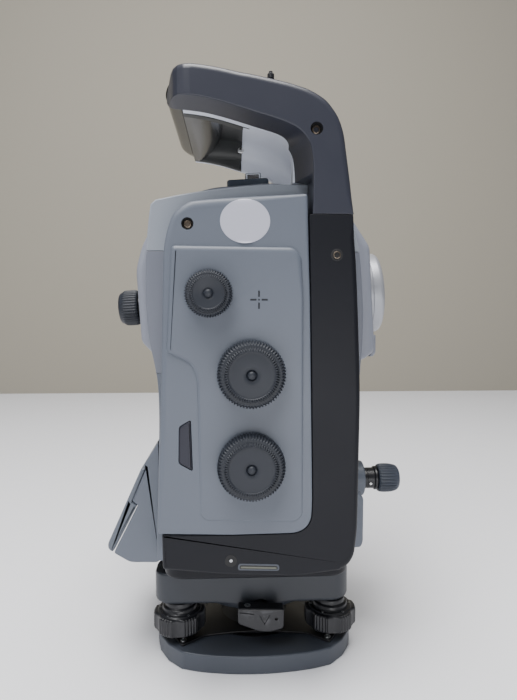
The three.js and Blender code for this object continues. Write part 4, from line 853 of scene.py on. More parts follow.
# ------------------------------------------------------------------ dark outer frames
fr = [(-58.1, 86.9, 2), (-17, 82.6, 8), (25.4, 81, 8), (51.2, 84.4, 3), (55.7, 87.8, 3), (58.7, 93.4, 3), (60.4, 109.5, 6), (61.2, 189.3, 8), (60.6, 209.8, 8), (59.6, 232.8, 8), (58.6, 255.5, 8), (57.2, 277.7, 8), (55.3, 298.8, 0.5),
      (29.6, 298.8, 0.5), (30.75, 249, 2), (31.75, 189, 2), (32.65, 128, 4), (32.15, 116.8, 5), (29, 111, 5), (22.6, 108.02, 4), (-16.9, 107.5, 3), (-58.3, 108.7, 0.8)]
fr_o = soft(fr, 5)
def frame_edges(o):
    E = []
    for x, z in o:
        if z > 298: E.append((0.25, 0.25))
        elif x > 50: E.append((3.4, 2.8))
        elif z < 100: E.append((2.2, 1.8))
        elif x < -57: E.append((1.6, 1.4))
        else: E.append((0.5, 0.5))
    return E
for s, nm in ((-1, "near"), (1, "far")):
    fo = fr_o if s < 0 else soft([q for p in fr for q in ([p] if p[1] != 298.8 else ([(55.3, 298.8, 5), (53, 305.6, 3), (48, 309.4, 3), (40, 311, 4)] if p[0] > 40 else [(29.3, 311.2, 0.5)]))], 5)
    f = edged("frame", fo, "y", s * 62.2, s * 87.95, (0.6, 0.6), frame_edges(fo) if s < 0 else [((2.0, 1.6) if z > 298 else e) for e, (x, z) in zip(frame_edges(fo), fo)], DARK, seg=6)
    piece(f, "alidade", "dark_paint", f"{nm}_frame")
    # painted shade: a near-black disc behind the frame screw standing in for its shaded recess
    rec = lathe(f"frame_screw_hole_painted_shade_{nm}", [(0, 87.8), (3.6, 87.8), (3.6, 88.0), (3.45, 88.08), (2.7, 88.0), (0, 88.0)], "y", (45.9, 0, 275.3), 48, RECESS_SHADE, mod=lambda t, i, r, h, s=s: (r, s * h))
    piece(rec, "alidade", "black_plastic")
    piece(screw(f"frame_screw_{nm}", 45.9, 275.3, s * 87.6, s, 2.35, SCREW, 0.85), "alidade", "steel")
# painted light: the lip takes the brighter copy of the dark paint so it reads lit against the frame
vl = edged("vent_lip", soft([(-12.9, 85.8, 1.7), (12.5, 84.9, 1.7), (12.3, 89.0, 1.7), (-12.5, 90.0, 1.7)], 5), "y", -87.8, -88.2, 0, (0.45, 0.25), DARK_LIT_BASE, seg=3)
piece(vl, "alidade", "dark_paint")
# painted shade: a near-black plate in the vent slot behind the olive insert
ins = [edged("vi", soft([(-11.9, 86.7, 1.2), (11.5, 85.8, 1.2), (11.3, 88.1, 1.2), (-11.5, 89.1, 1.2)], 5), "y", -87.9, -88.24, 0, (0.2, 0.1), RECESS_SHADE, seg=2),
       edged("vi", soft([(-11.2, 87.1, 0.7), (10.8, 86.2, 0.7), (10.7, 87.4, 0.7), (-11.0, 88.3, 0.7)], 5), "y", -88.0, -88.34, 0, (0.3, 0.2), OLIVE, seg=3)]
piece(join(ins, "vent_slot_shade_and_insert"), "alidade", "dark_paint")
# painted shade: a near-black disc round the plug standing in for its shaded recess
plug = [lathe("plg", [(0, -87.8), (3.75, -87.8), (3.75, -88.0), (3.5, -88.15), (2.9, -88.05), (0, -88.0)], "y", (-16.9, 0, 91.7), 48, RECESS_SHADE),
        lathe("plg", [(0, -87.9), (1.0, -87.9), (1.0, -88.25), (0.7, -88.4), (0, -88.4)], "y", (-16.9, 0, 91.9), 24, STEEL)]
piece(join(plug, "sealing_plug_in_painted_recess_shade"), "alidade", "black_plastic")

# ------------------------------------------------------------------ carrying handle
def deform(ob, fn, planes):
    """Cuts the mesh by planes (axis, value in mm) and moves every vertex by fn in instrument millimetres."""
    bm = bmesh.new(); bm.from_mesh(ob.data)
    for ax, v in planes:
        no = Vector((1, 0, 0)) if ax == "x" else (Vector((0, 1, 0)) if ax == "y" else Vector((0, 0, 1)))
        co = W((v, 0, 0)) if ax == "x" else (W((0, v, 0)) if ax == "y" else W((0, 0, v)))
        bmesh.ops.bisect_plane(bm, geom=bm.verts[:] + bm.edges[:] + bm.faces[:], dist=1e-7, plane_co=co, plane_no=no)
    for v in bm.verts:
        q = [(v.co.x - AX) / MM, (v.co.y - AY) / MM, v.co.z / MM]
        v.co = W(fn(q))
    bmesh.ops.recalc_face_normals(bm, faces=bm.faces)
    bm.to_mesh(ob.data); bm.free()
    shade(ob, 38)
    return ob

PLAN_N = [(-56.4, 61.0), (-55.3, 64.0), (-53.2, 70.0), (-51.4, 77.0), (-49.6, 82.0), (-46.8, 85.6), (-43.0, 87.5), (-39.0, 88.0)]
def arm_out(x):
    if x >= PLAN_N[-1][0]: return 88.0
    for (xa, ya), (xb, yb) in zip(PLAN_N, PLAN_N[1:]):
        if x <= xb: return ya + (yb - ya) * max(0.0, (x - xa)) / (xb - xa)
    return 88.0
arm_pts = [(31.6, 299.2), (55.6, 299.2), (54.9, 307.2), (53.6, 318.6), (51.2, 335.7), (49.6, 346), (46.6, 354.6), (42.4, 361), (37.6, 365.8), (29.3, 370.4), (20, 373.4), (12.6, 375.2), (-2.3, 378.2), (-12, 379.8), (-22.9, 382), (-33.7, 383.5),
           (-42, 384), (-48.8, 383.2), (-52.2, 380.4), (-54.2, 376), (-55.3, 371), (-54.6, 368.3), (-51.5, 366.6), (-44.8, 366), (-34, 364.8), (-23, 362.5), (-12.1, 359.5), (-2.2, 356.6), (12.8, 352.2), (21.6, 348.4), (26.9, 343.9), (30.4, 337.1), (31.7, 324.6)]
arm_o = [(x, min(z, 383.9)) for x, z in fair(arm_pts, {0, 1}, 4)]
def arm_edges(o):
    E = []
    for i, (x, z) in enumerate(o):
        if z < 299.4: E.append((0.25, 0.25)); continue
        a, b = o[i - 1], o[(i + 1) % len(o)]
        nx, nz = (b[1] - a[1]), -(b[0] - a[0])           # outward for ccw
        if area2(o) < 0: nx, nz = -nx, -nz
        l = math.hypot(nx, nz) or 1
        up = (nx * 0.6 + nz) / l
        k = min(1.0, (z - 299.2) / 10)
        E.append((0.9 + k * 3.2 * max(0, min(1, up * 1.3)), 0.8 + k * 2.6 * max(0, min(1, up * 1.3))))
    return E
# the near arm takes the brighter copy of the dark paint: painted light
arm = edged("arm_near", arm_o, "y", -62.2, -87.95, (0.5, 0.5), arm_edges(arm_o), DARK_LIT_HANDLE, seg=6)
def push(q):
    x0 = q[0]
    k = (abs(q[1]) - 62.2) / 25.75
    q[1] = -(62.2 + k * (min(87.95, arm_out(x0) - 0.05) - 62.2))
    b = min(1.0, max(0.0, (86.5 - abs(q[1])) / 24.3))        # 0 at the front, 1 at the back
    w = min(1.0, max(0.0, (43.0 - x0) / 11.0)) * min(1.0, max(0.0, (352.0 - q[2]) / 9.0)) * min(1.0, max(0.0, (q[2] - 321.4) / 1.4))
    q[0] = x0 - 8.2 * b * w
    return q
deform(arm, push, [("x", v) for v in (-39, -41, -43, -45, -46.8, -48.2, -49.6, -50.5, -51.4, -52.3, -53.2, -54.2, -55.3)] + [("y", v) for v in (-84, -80, -76, -72, -68, -65)] + [("z", v) for v in (321.4, 322.8, 330, 338, 343.2)])
arm = cut(arm, cyl("c", 3.7, -92, -84.3, "y", (33.5, 0, 347.9), 48), cyl("c", 2.3, 375.4, 390, "z", (7.6, -75, 0), 40))
bevel(arm, 0.2, 1, 50)
piece(arm, "alidade", "dark_paint", "handle_arm_near")
piece(screw("arm_screw_near", 33.5, 347.9, -84.0, -1, 2.6, SCREW, 1.5), "alidade", "steel")
# painted shade: a near-black ring lining the arm screw's recess
arm_recess_shade = lathe("arm_screw_recess_painted_shade", [(2.7, -84.6), (3.66, -84.6), (3.66, -87.0), (3.4, -87.1), (2.7, -85.2)], "y", (33.5, 0, 347.9), 48, RECESS_SHADE, close=True)
piece(arm_recess_shade, "alidade", "black_plastic")

# the far corner of the handle is rounded in plan
def far_x(y):     # leftmost x of the handle at a given y
    if y <= 31.5: return -56.3
    return -26 - math.sqrt(max(0.0, 30.3 ** 2 - (min(y, 61.79) - 31.5) ** 2))
def wrap(q, inner=0.0):
    """Carries points near the leading edge round the far corner."""
    x, y, z = q
    if y > 31.5 and x < -26:
        f = (-26 - x) / 30.3                    # 0 at the start of the curve, 1 at the leading edge
        q[0] = -26 - (-26 - far_x(y)) * f
    return q
FARP = [("y", v) for v in (31.5, 35, 38.5, 42, 45, 48, 50.5, 53, 55, 57, 58.6, 60, 61, 61.5)]
lin_pts = [(22.6, 322.9), (49.7, 322.9), (48.2, 335), (46.4, 345), (41.1, 351), (38.1, 357.2), (33.6, 362.7), (25.7, 368.1), (12.6, 374.1), (-2.5, 378.4), (-12, 380.1), (-22.9, 381.1), (-34, 381.5), (-45.9, 381.4),
           (-45.9, 366.3), (-34, 364.9), (-23, 362.6), (-12.1, 359.6), (-2.2, 356.7), (6, 354.3), (15.5, 351.1), (20.7, 345.9), (22.4, 337.7)]
lin_o = fair(lin_pts, {0, 1, 13, 14}, 3)
# the lining takes the far brighter copy of the light paint: painted light inside the handle
ln = edged("liner_near", lin_o, "y", -61.7, -48.5, (0.2, 0.2), (1.5, 1.2), LIGHT_LIT_LINER, seg=4)
ln = cut(ln, slab("c", soft([(-60, 340, 0), (-8, 340, 0), (-8, 390, 0), (-60, 390, 0)], 2), "y", -56.3, -40, 0, 0, LIGHT_LIT_LINER), cyl("c", 2.4, -50.5, -40, "y", (30.5, 0, 331.5), 36))
piece(ln, "alidade", "light_paint", "handle_liner_near")
piece(screw("liner_screw_near", 30.5, 331.5, -52.1, 1, 2.2, SCREW, 1.3), "alidade", "steel")
lf = edged("liner_far", lin_o, "y", 54.35, 48.5, (0.2, 0.2), (1.5, 1.2), LIGHT_LIT_LINER, seg=4)
lf = cut(lf, slab("c", soft([(-60, 340, 0), (-8, 340, 0), (-8, 390, 0), (-60, 390, 0)], 2), "y", 40, 52.3, 0, 0, LIGHT_LIT_LINER), cyl("c", 2.4, 40, 50.5, "y", (30.5, 0, 331.5), 36))
piece(lf, "alidade", "light_paint", "handle_liner_far")
piece(screw("liner_screw_far", 30.5, 331.5, 52.1, -1, 2.2, SCREW, 1.3), "alidade", "steel")

# closed top with the thin far arm under it
top_pts = [(-46.2, 382.0), (-34, 382.1), (-22.9, 381.7), (-12, 380.7), (-2.3, 379.0), (12.8, 374.7), (26, 368.7), (34, 363.3), (38.6, 357.7), (41.6, 351.5), (45.7, 353.2), (43, 359.5), (37.6, 366.1), (29.3, 371.8), (12.8, 378.5), (-2.3, 382.8), (-12, 384.5), (-22.9, 385.5), (-34, 385.8), (-46.2, 385.7)]
top_o = fair(top_pts, {0, 9, 10, 19}, 3)
# the top slab and far arm skin take the brighter copy of the dark paint: painted light
tp = edged("top_slab", top_o, "y", -61.6, 61.6, (0.9, 0.9), (2.6, 2.0), DARK_LIT_HANDLE, seg=5)
deform(tp, wrap, FARP)
fa_pts = [(27, 322.9), (49.7, 322.9), (48.2, 335), (46.4, 345), (42.9, 352.2), (39.5, 358.4), (34.9, 364.2), (26.7, 369.7), (12.9, 375.7), (-2.3, 380.0), (-12, 381.7), (-22.9, 382.7), (-34, 383.1), (-45.9, 383.0),
          (-45.9, 370.5), (-34, 369.1), (-23, 366.7), (-12.1, 363.7), (-2.2, 360.8), (8, 357.9), (18.5, 354.5), (24.5, 348.1), (26.6, 339)]
fa_o = fair(fa_pts, {0, 1, 13, 14}, 3)
fa = edged("far_arm_skin", fa_o, "y", 54.8, 61.6, (0.3, 0.3), (2.0, 1.6), DARK_LIT_HANDLE, seg=4)
deform(fa, wrap, FARP)
piece(join([tp, fa], "handle_top_shell"), "alidade", "dark_paint", "handle_top")
# the light lining under the top stops at the dark trim of the grip
ro = [(-7.6, 379.6), (-2.3, 378.6), (12.8, 374.3), (26, 368.3), (34, 362.9), (38.6, 357.3), (38.2, 357.0), (33.7, 362.4), (25.8, 367.8), (12.7, 373.8), (-2.4, 378.1), (-7.6, 379.1)]
# the roof lining takes the same brightened copy: painted light
piece(slab("roof_lining", ro, "y", -48.3, 48.3, 0, 0, LIGHT_LIT_LINER), "alidade", "light_paint")
rd = [(-38.2, 381.3), (-22.9, 380.9), (-12, 379.9), (-8.0, 379.4), (-8.0, 378.9), (-12, 379.4), (-22.9, 380.4), (-38.2, 380.8)]
piece(slab("roof_trim", rd, "y", -48.3, 48.3, 0, 0, PANELD), "alidade", "grip_grey")

def roof_z(x):
    pts = [(-38, 381.2), (-22.9, 380.4), (-12, 379.4), (-2.3, 378.2), (12.8, 373.9), (26, 367.9), (34, 362.5), (38.2, 357.2)]
    for (xa, za), (xb, zb) in zip(pts, pts[1:]):
        if x <= xb: return za + (zb - za) * (x - xa) / (xb - xa)
    return pts[-1][1]
def covepiece(name, xs, mat, R, top=0.0):
    vs, fs, n = [], [], 12
    for x in xs:
        z0 = roof_z(x) + top
        for k in range(n + 1):
            a = math.pi / 2 * k / n
            vs.append((x, 48.5 - R + R * math.sin(a), z0 - R + R * math.cos(a)))
        vs.append((x, 48.6, z0 + 0.2))
    m = n + 2
    for i in range(len(xs) - 1):
        for k in range(m):
            fs.append((i * m + k, i * m + (k + 1) % m, (i + 1) * m + (k + 1) % m, (i + 1) * m + k))
    fs.append(tuple(range(m))); fs.append(tuple((len(xs) - 1) * m + k for k in range(m))[::-1])
    return build(name, vs, fs, mat, W, 60)
piece(covepiece("roof_cove_light", [-7.4 + 2.2 * k for k in range(20)], LIGHT_LIT_LINER, 13.0), "alidade", "light_paint")
piece(covepiece("roof_cove_dark", [-36 + 2.0 * k for k in range(15)], PANELD, 13.0, 0.3), "alidade", "grip_grey")
gl_o = [(-45.5, 366.2), (-34, 364.7), (-23, 362.4), (-12.1, 359.4), (-4.6, 357.2), (-4.6, 359.0), (-12.1, 361.2), (-23, 364.2), (-34, 366.5), (-45.5, 368.0)]
# painted shadow: a thin near-black strip in the gap under the near liner
piece(slab("liner_gap_painted_shadow", gl_o, "y", -56.6, -55.6, 0, 0, RECESS_SHADE), "alidade", "black_plastic")

go = fair([(-46.9, 385.3), (-51.5, 383.9), (-55.1, 380), (-56.2, 374), (-53.8, 370.2), (-46.9, 367.3)], {0, 5}, 6)
g1 = edged("grip_shell_outer", go, "y", -61.6, 61.6, (0.35, 0.35), (0.35, 0.35), GRIP, seg=3)
deform(g1, wrap, FARP)
piece(g1, "alidade", "grip_grey", "handle_grip_outer")
gi = fair([(-46.5, 381.4), (-46.5, 367.0), (-41, 366.3), (-37, 367.0), (-33, 368.7), (-28.6, 371.6), (-24.7, 375.3), (-22.6, 380.8), (-38, 381.4)], {0, 1, 7, 8}, 6)
g2 = edged("grip_shell_inner", gi, "y", -55.8, 51.9, (0.35, 0.35), (0.35, 0.35), GRIP, seg=3)
# the inner shell narrows into the far wall in a round sweep
def cove(q):
    t = min(1.0, max(0.0, (q[1] - 8.0) / 43.9))
    k = 1 - 0.52 * (1 - math.sqrt(1 - t * t))
    q[0] = -46.5 + (q[0] + 46.5) * k
    return q
deform(g2, cove, [("y", v) for v in (8, 14, 19, 24, 28, 32, 35.5, 38.5, 41.5, 43.5, 45.5, 47, 48.4, 49.6, 50.6, 51.4)])
pan_o = fair([(-8.5, 358.8), (-8.5, 379.4), (-12, 380.1), (-22.9, 381.1), (-34, 381.5), (-46.3, 381.4), (-46.3, 366.7), (-34, 364.9), (-23, 362.6), (-12.1, 359.6)], {0, 1, 5, 6}, 3)
gp = []
q = edged("ip", pan_o, "y", -55.9, -48.5, (0.2, 0.2), (1.2, 1.0), PANELD, seg=4)
q = cut(q, cyl("c", 2.6, -50.3, -40, "y", (-14.6, 0, 368.4), 36)); gp.append(q)
q = edged("ip", pan_o, "y", 51.9, 48.5, (0.2, 0.2), (1.2, 1.0), PANELD, seg=4); gp.append(q)
piece(join([g2] + gp, "grip_inner_shells"), "alidade", "grip_grey", "handle_grip_inner")
piece(screw("grip_screw_near", -14.6, 368.4, -52.1, 1, 2.45, BRIGHT, 1.5), "alidade", "steel")
piece(screw("grip_screw_far", -8.7, 374.0, 46.9, -1, 2.5, BRIGHT, 2.4), "alidade", "steel")
an = lathe("antenna_stub", [(0, 376.9), (2.05, 376.9), (2.05, 379.2), (1.7, 379.5), (1.7, 380.2), (2.05, 380.5), (2.05, 382.9), (1.6, 383.4), (1.2, 383.6), (1.15, 384.4), (0.8, 384.75), (0, 384.75)], "z", (7.6, -75, 0), 96, BLACK,
           mod=lambda t, i, r, h: (r - (0.18 * (1 - wave(16 * t)) if i in (6, 7) else 0), h))
piece(an, "alidade", "steel", "antenna_socket")

# ------------------------------------------------------------------ knobs
def knob(name, c, prof, teeth, rim, ser, amp, sramp, body, node, mat=RUBBER):
    x, z = c
    def mod(t, i, r, h):
        if i in rim: r -= amp * (1 - wave(teeth * t)) * rim[i]
        if i in ser: r -= sramp * (1 - wave(teeth * t)) * ser[i]; h -= 0.5 * sramp * (1 - wave(teeth * t)) * ser[i]
        return r, -h
    ob = lathe(name, prof, "y", (x, -88.0, z), teeth * 8, mat, mod=mod, angle=60)
    return piece(ob, body, "rubber_grey", node)
DK = [(0, -7), (4.1, -7), (4.1, 1.2), (15.2, 1.4), (18.2, 1.5), (19.4, 1.9), (20.0, 2.8), (20.2, 4.2), (20.1, 8.2), (19.7, 9.6), (18.9, 10.8), (17.9, 11.5), (16.9, 11.7), (16.1, 11.6), (15.8, 11.9),
      (15.6, 12.9), (15.1, 13.5), (14.2, 13.6), (13.7, 13.2), (13.1, 12.85), (12.2, 12.9), (9.0, 13.15), (6.0, 13.2), (3.6, 13.1), (3.2, 12.8), (3.0, 12.3), (2.7, 12.15), (2.45, 12.4), (2.3, 13.2), (1.8, 13.75), (1.0, 14.05), (0, 14.15)]
DR = {4: 0.2, 5: 0.5, 6: 0.9, 7: 1, 8: 1, 9: 1, 10: 0.9, 11: 0.5}
DS = {14: 0.5, 15: 1, 16: 1, 17: 0.7, 18: 0.3}
knob("vertical_knob", VK, DK, 66, DR, DS, 0.95, 0.85, "vertical_drive_knob", "vertical_drive_knob")
knob("horizontal_knob", HK, DK, 66, DR, DS, 0.95, 0.85, "horizontal_drive_knob", "horizontal_drive_knob")
FKP = [(0, -7), (4.1, -7), (4.1, 1.0), (10.6, 1.2), (12.7, 1.5), (13.6, 2.2), (14.0, 3.4), (14.05, 4.6), (13.95, 7.8), (13.6, 9.2), (12.9, 10.2), (12.1, 10.9), (11.4, 11.0), (10.9, 10.8), (10.6, 11.1),
       (10.4, 11.8), (10.0, 12.2), (9.3, 12.25), (8.8, 11.9), (8.2, 11.8), (7.2, 11.7), (6.0, 11.4), (4.4, 11.2), (3.4, 11.1), (3.0, 10.8), (2.7, 10.6), (2.4, 10.8), (2.2, 11.4), (1.7, 11.8), (1.0, 12.05), (0, 12.15)]
knob("focus_knob_body", FK, FKP, 54, {4: 0.3, 5: 0.6, 6: 1, 7: 1, 8: 1, 9: 1, 10: 0.85, 11: 0.4}, {14: 0.5, 15: 1, 16: 1, 17: 0.6}, 0.85, 0.7, "focus_knob", "focus_knob")

# ------------------------------------------------------------------ optical plummet
pt = lathe("plummet_barrel", [(4, 24.2), (6.5, 24.2), (6.5, 83.9), (7.4, 83.9), (7.8, 84.3), (7.9, 85), (7.9, 86.2), (7.7, 86.4), (7.7, 86.9), (7.9, 87.1), (7.9, 91.9), (8.7, 92.4), (8.9, 92.8), (8.9, 94.0), (8.6, 94.3), (5, 94.35), (4.9, 90), (4, 90)], "x", (0, 0, PLZ), 80, BLACK, close=True)
piece(pt, "plummet_tube", "black_plastic", "plummet_tube")
pl_ = lathe("plummet_set_screw", [(0, 0), (0.95, 0), (0.95, 0.45), (0.6, 0.5), (0.5, 0.2), (0, 0.2)], "y", (88.9, -7.35, PLZ - 2.4), 20, BRIGHT, mod=lambda t, i, r, h: (r, -h))
piece(pl_, "plummet_tube", "steel")
pw = lathe("plummet_washer", [(7.3, 83.3), (9.6, 83.3), (9.9, 83.42), (9.9, 83.5), (7.3, 83.55)], "x", (0, 0, PLZ), 64, LIGHT_LIT_LINER, close=True)
piece(pw, "alidade", "light_paint")
# the plummet knob takes the brighter copy of the rubber: painted light
pe = lathe("plummet_knob", [(3.3, 94.9), (8.6, 94.9), (9.4, 95.1), (10.1, 95.7), (10.55, 96.8), (10.8, 98.6), (10.85, 101.0), (10.8, 103.6), (10.6, 105.6), (10.2, 107.4), (9.9, 108.6), (9.6, 109.2), (9.2, 109.9), (8.4, 110.7), (7.6, 111.2), (6.6, 111.5), (5.6, 111.5), (5.1, 111.2), (4.7, 110.4), (3.3, 108)], "x", (0, 0, PLZ), 30 * 10, RUBBER_LIT_PLUMMET,
           mod=lambda t, i, r, h: (r - (0.75 * (1 - wave(30 * t)) * {3: 0.5, 4: 0.9, 5: 1, 6: 1, 7: 1, 8: 1, 9: 0.8, 10: 0.4}.get(i, 0)), h), close=True, angle=50)
piece(pe, "plummet_eyepiece", "rubber_grey", "plummet_eyepiece")
pg = lathe("plummet_eye_lens", [(0, 105.4), (3.6, 105.4), (3.7, 105.8), (3.7, 107.0), (3.2, 107.4), (2, 107.75), (0, 107.9)], "x", (0, 0, PLZ), 40, GLASS)
piece(pg, "plummet_eyepiece", "optics")

# ------------------------------------------------------------------ telescope
to = soft([(-78, -24, 3), (-66, -38, 6), (-40, -46, 10), (38, -50, 12), (71, -46, 5), (78.7, -40, 3), (78.7, 30, 3), (66, 52, 8), (46, 68, 9), (20, 75.7, 12), (-30, 74.5, 12), (-56, 62, 8), (-72, 42, 8), (-78, 24, 5)], 6)
# the telescope shell takes the brighter copy of the light paint: painted light
tb = edged("telescope_shell", to, "y", -45.8, 45.8, (5.5, 4.6), (5.5, 4.6), LIGHT_LIT_TELESCOPE, xf=T, seg=7)
tb = cut(tb, cyl("c", 22, -95, 100, "x", (0, 0, 0), 96, xf=T))
# seams between the front and rear castings and the cover plates on the flanks
for x in (-42.0, 40.0):
    seam = slab("c", [(x - 0.22, -60), (x + 0.22, -60), (x + 0.22, 82), (x - 0.22, 82)], "y", -50, 50, 0, 0, LIGHT_LIT_TELESCOPE, xf=T)
    corez = edged("c", inset(ccw(to), 0.8), "y", -45.0, 45.0, (5.2, 4.4), (5.2, 4.4), LIGHT_LIT_TELESCOPE, xf=T, seg=7)
    seam = boolean(seam, [corez]); tb = cut(tb, seam)
tb = cut(tb, *[tube("c", 20, 20.6, min(s * 45.3, s * 48), max(s * 45.3, s * 48), "y", (0, 0, 0), 90, xf=T, e=0.01) for s in (-1, 1)])
piece(tb, "telescope", "light_paint", "telescope_body")
ts = []
for x, z in ((-66, -20), (-66, 26), (65, -34), (65, 26), (-20, -40), (24, -43)):
    for s in (-1, 1):
        ts.append(lathe("c", [(0, 45.2), (2.3, 45.2), (2.3, 45.85), (1.3, 45.9), (1.2, 45.3), (0, 45.3)], "y", (x, 0, z), 28, SCREW, xf=T,
                        mod=lambda t, i, r, h, s=s: ((r if i < 3 or r == 0 else r / max(0.866, math.cos((t + math.pi / 6) % (math.pi / 3) - math.pi / 6))), s * h)))
piece(join(ts, "telescope_screws"), "telescope", "steel")
DX = -7.6
orr = lathe("objective_bezel", [(r, h + DX) for r, h in [(22, 86.9), (28.6, 86.9), (29.1, 87.3), (29.35, 88.2), (29.45, 90), (29.3, 91.2), (29.0, 91.4), (29.3, 91.7), (29.3, 96.2), (29.0, 97.6), (28.4, 98.7), (27.6, 99.3), (26.8, 99.4), (25.2, 99.4), (24.6, 99.2), (24.2, 98.6), (23.4, 97.6), (22.9, 97.2), (22.6, 95.8), (22.2, 95.4), (22.0, 94)]], "x", (0, 0, 0), 160, SILVER, xf=T, close=True)
piece(orr, "telescope", "silver", "objective_ring")
of_ = lathe("objective_baffle", [(20.9, 76.8)] + [(21.7 if k % 2 else 20.9, 77.3 + k * 0.42) for k in range(20)] + [(21.9, 86.0), (21.9, 76.8)], "x", (0, 0, 0), 96, BLACK, xf=T, close=True)
piece(of_, "telescope", "black_plastic")
ol = lathe("objective_front_lens", [(r, h + DX) for r, h in [(0, 82.1), (20.2, 83.0), (20.7, 83.3), (20.7, 86.3), (20.2, 86.75), (17.5, 87.6), (14, 88.35), (10, 88.9), (5, 89.25), (0, 89.35)]], "x", (0, 0, 0), 96, GLASS, xf=T)
piece(ol, "telescope", "optics", "objective_lens")
tw = edged("tracker_housing", soft([(79.2, -45.7, 0.5), (82.0, -45.7, 1.5), (83.8, -43, 2), (84.5, -30.3, 1), (79.2, -30.3, 0.3)], 5), "y", -26.9, 26.9, (2.4, 2.4), (2.4, 2.4), LIGHT_LIT_TELESCOPE, xf=T, seg=5)
twc = slab("c", soft([(-19, -43.2, 3), (19, -43.2, 3), (19, -32, 3), (-19, -32, 3)], 5), "x", 82.7, 90, 0, 0, LIGHT_LIT_TELESCOPE, xf=T)
tw = cut(tw, twc)
bevel(tw, 0.2, 2, 48)
piece(tw, "telescope", "light_paint", "tracker_window")
tg = edged("tracker_glass", soft([(-18.7, -42.9, 2.8), (18.7, -42.9, 2.8), (18.7, -32.3, 2.8), (-18.7, -32.3, 2.8)], 5), "x", 82.2, 83.3, 0, (0.4, 0.3), DWIN, xf=T, seg=3)
piece(tg, "telescope", "optics")
t1 = edged("sight_base", soft([(-14.1, -12.9, 3), (15.9, -12.9, 3), (15.9, 12.9, 3), (-14.1, 12.9, 3)], 6), "z", 76.3, 86.5, (0.2, 0.2), (2.0, 1.6), SIGHT, xf=T, seg=5)
t2 = edged("c", soft([(-0.5, -4.5, 1), (10.9, -4.5, 1), (10.9, 4.5, 1), (-0.5, 4.5, 1)], 5), "z", 85.6, 92.3, 0, (1.0, 0.8), SIGHT, xf=T, seg=4)
t1 = weld(t1, t2)
bevel(t1, 0.25, 2, 48)
piece(t1, "telescope", "panel_paint", "top_sight")
piece(edged("sight_frame", soft([(0.0, 87.2, 0.8), (10.4, 87.2, 0.8), (10.4, 91.7, 0.8), (0.0, 91.7, 0.8)], 4), "y", -4.4, -4.75, 0, (0.15, 0.1), LIGHT_LIT_LINER, xf=T, seg=2), "telescope", "light_paint")
sg = [edged("sw", soft([(0.9, 87.9, 0.6), (9.5, 87.9, 0.6), (9.5, 91.0, 0.6), (0.9, 91.0, 0.6)], 4), "y", -4.6, -4.95, 0, (0.15, 0.1), DWIN, xf=T, seg=2),
      edged("sw", soft([(-5, 78.8, 1.2), (5, 78.8, 1.2), (5, 84.2, 1.2), (-5, 84.2, 1.2)], 4), "x", 15.4, 16.0, 0, (0.2, 0.1), DWIN, xf=T, seg=2),
      edged("sw", soft([(-2.4, 79.2, 1.0), (2.4, 79.2, 1.0), (2.4, 83.8, 1.0), (-2.4, 83.8, 1.0)], 4), "x", -13.6, -14.2, 0, (0.2, 0.1), DWIN, xf=T, seg=2)]
piece(join(sg, "sight_windows"), "telescope", "optics")
ef = edged("eyepiece_plate", soft([(-21, -21.9, 9), (21, -21.9, 9), (21, 25.5, 9), (-21, 25.5, 9)], 8), "x", -78.5, -80.7, (0.1, 0.1), (0.7, 0.6), SILVER, xf=T, seg=3)
edsk = lathe("c", [(0, -79), (15.6, -79), (15.6, -81.8), (15.3, -82.3), (14.8, -82.5), (0, -82.5)], "x", (0, 0, 0), 80, SILVER, xf=T)
ef = weld(ef, edsk)
ef = cut(ef, cyl("c", 6.5, -95, -70, "x", (0, 0, 0), 48, xf=T), tube("c", 12.4, 12.9, -85, -82.1, "x", (0, 0, 0), 72, xf=T, e=0.01))
bevel(ef, 0.15, 1, 50)
en = lathe("neck", [(6.5, -81.5), (9.6, -82.3), (9.6, -83.0), (9.2, -83.3), (9, -83.5), (9, -84.2), (6.5, -84.2)], "x", (0, 0, 0), 72, BLACK, xf=T, close=True)
sc4 = [lathe("c", [(0, -80.5), (1.7, -80.5), (1.7, -81.1), (1.4, -81.3), (0.9, -81.3), (0.8, -80.9), (0, -80.9)], "x", (0, yy, zz), 24, SCREW, xf=T) for yy, zz in ((-17, -17.6), (17, -17.6), (-17, 21.2), (17, 21.2))]
piece(join([ef, en] + sc4, "eyepiece_mount"), "telescope", "silver", "eyepiece_flange")
er = lathe("eyepiece_knurl", [(6.7, -84.7), (10.9, -84.7), (11.9, -84.9), (12.6, -85.7), (13.0, -86.8), (13.05, -89.0), (13.0, -92.6), (12.8, -94.4), (12.2, -95.6), (11.7, -95.9), (11.5, -96.4), (11.0, -97.6), (10.0, -98.4), (8.9, -98.7), (7.9, -98.4), (7.1, -97.7), (6.7, -97.0)], "x", (0, 0, 0), 40 * 9, RUBBER, xf=T,
           mod=lambda t, i, r, h: (r - 0.6 * (1 - wave(40 * t)) * {2: 0.3, 3: 0.8, 4: 1, 5: 1, 6: 1, 7: 0.9, 8: 0.45}.get(i, 0), h), close=True, angle=50)
piece(er, "eyepiece", "rubber_grey", "eyepiece_ring")
el = lathe("eyepiece_eye_lens", [(0, -93.9), (6.1, -93.9), (6.15, -94.2), (6.1, -95.4), (5, -95.9), (3, -96.35), (0, -96.5)], "x", (0, 0, 0), 56, GLASS, xf=T)
piece(el, "eyepiece", "optics", "eyepiece_lens")
for s, nm, end in ((-1, "near", 67.5), (1, "far", 61.5)):
    sh = lathe(f"trunnion_{nm}", [(0, 46.3), (14.6, 46.3), (15, 46.6), (15, 47.5), (14.6, 47.8), (12.2, 47.8), (12, 48.0), (12, end - 0.5), (11.5, end), (0, end)], "y", (0, 0, 0), 80, STEEL, xf=T, mod=lambda t, i, r, h, s=s: (r, s * h))
    piece(sh, "telescope", "steel", f"trunnion_shaft_{nm}")

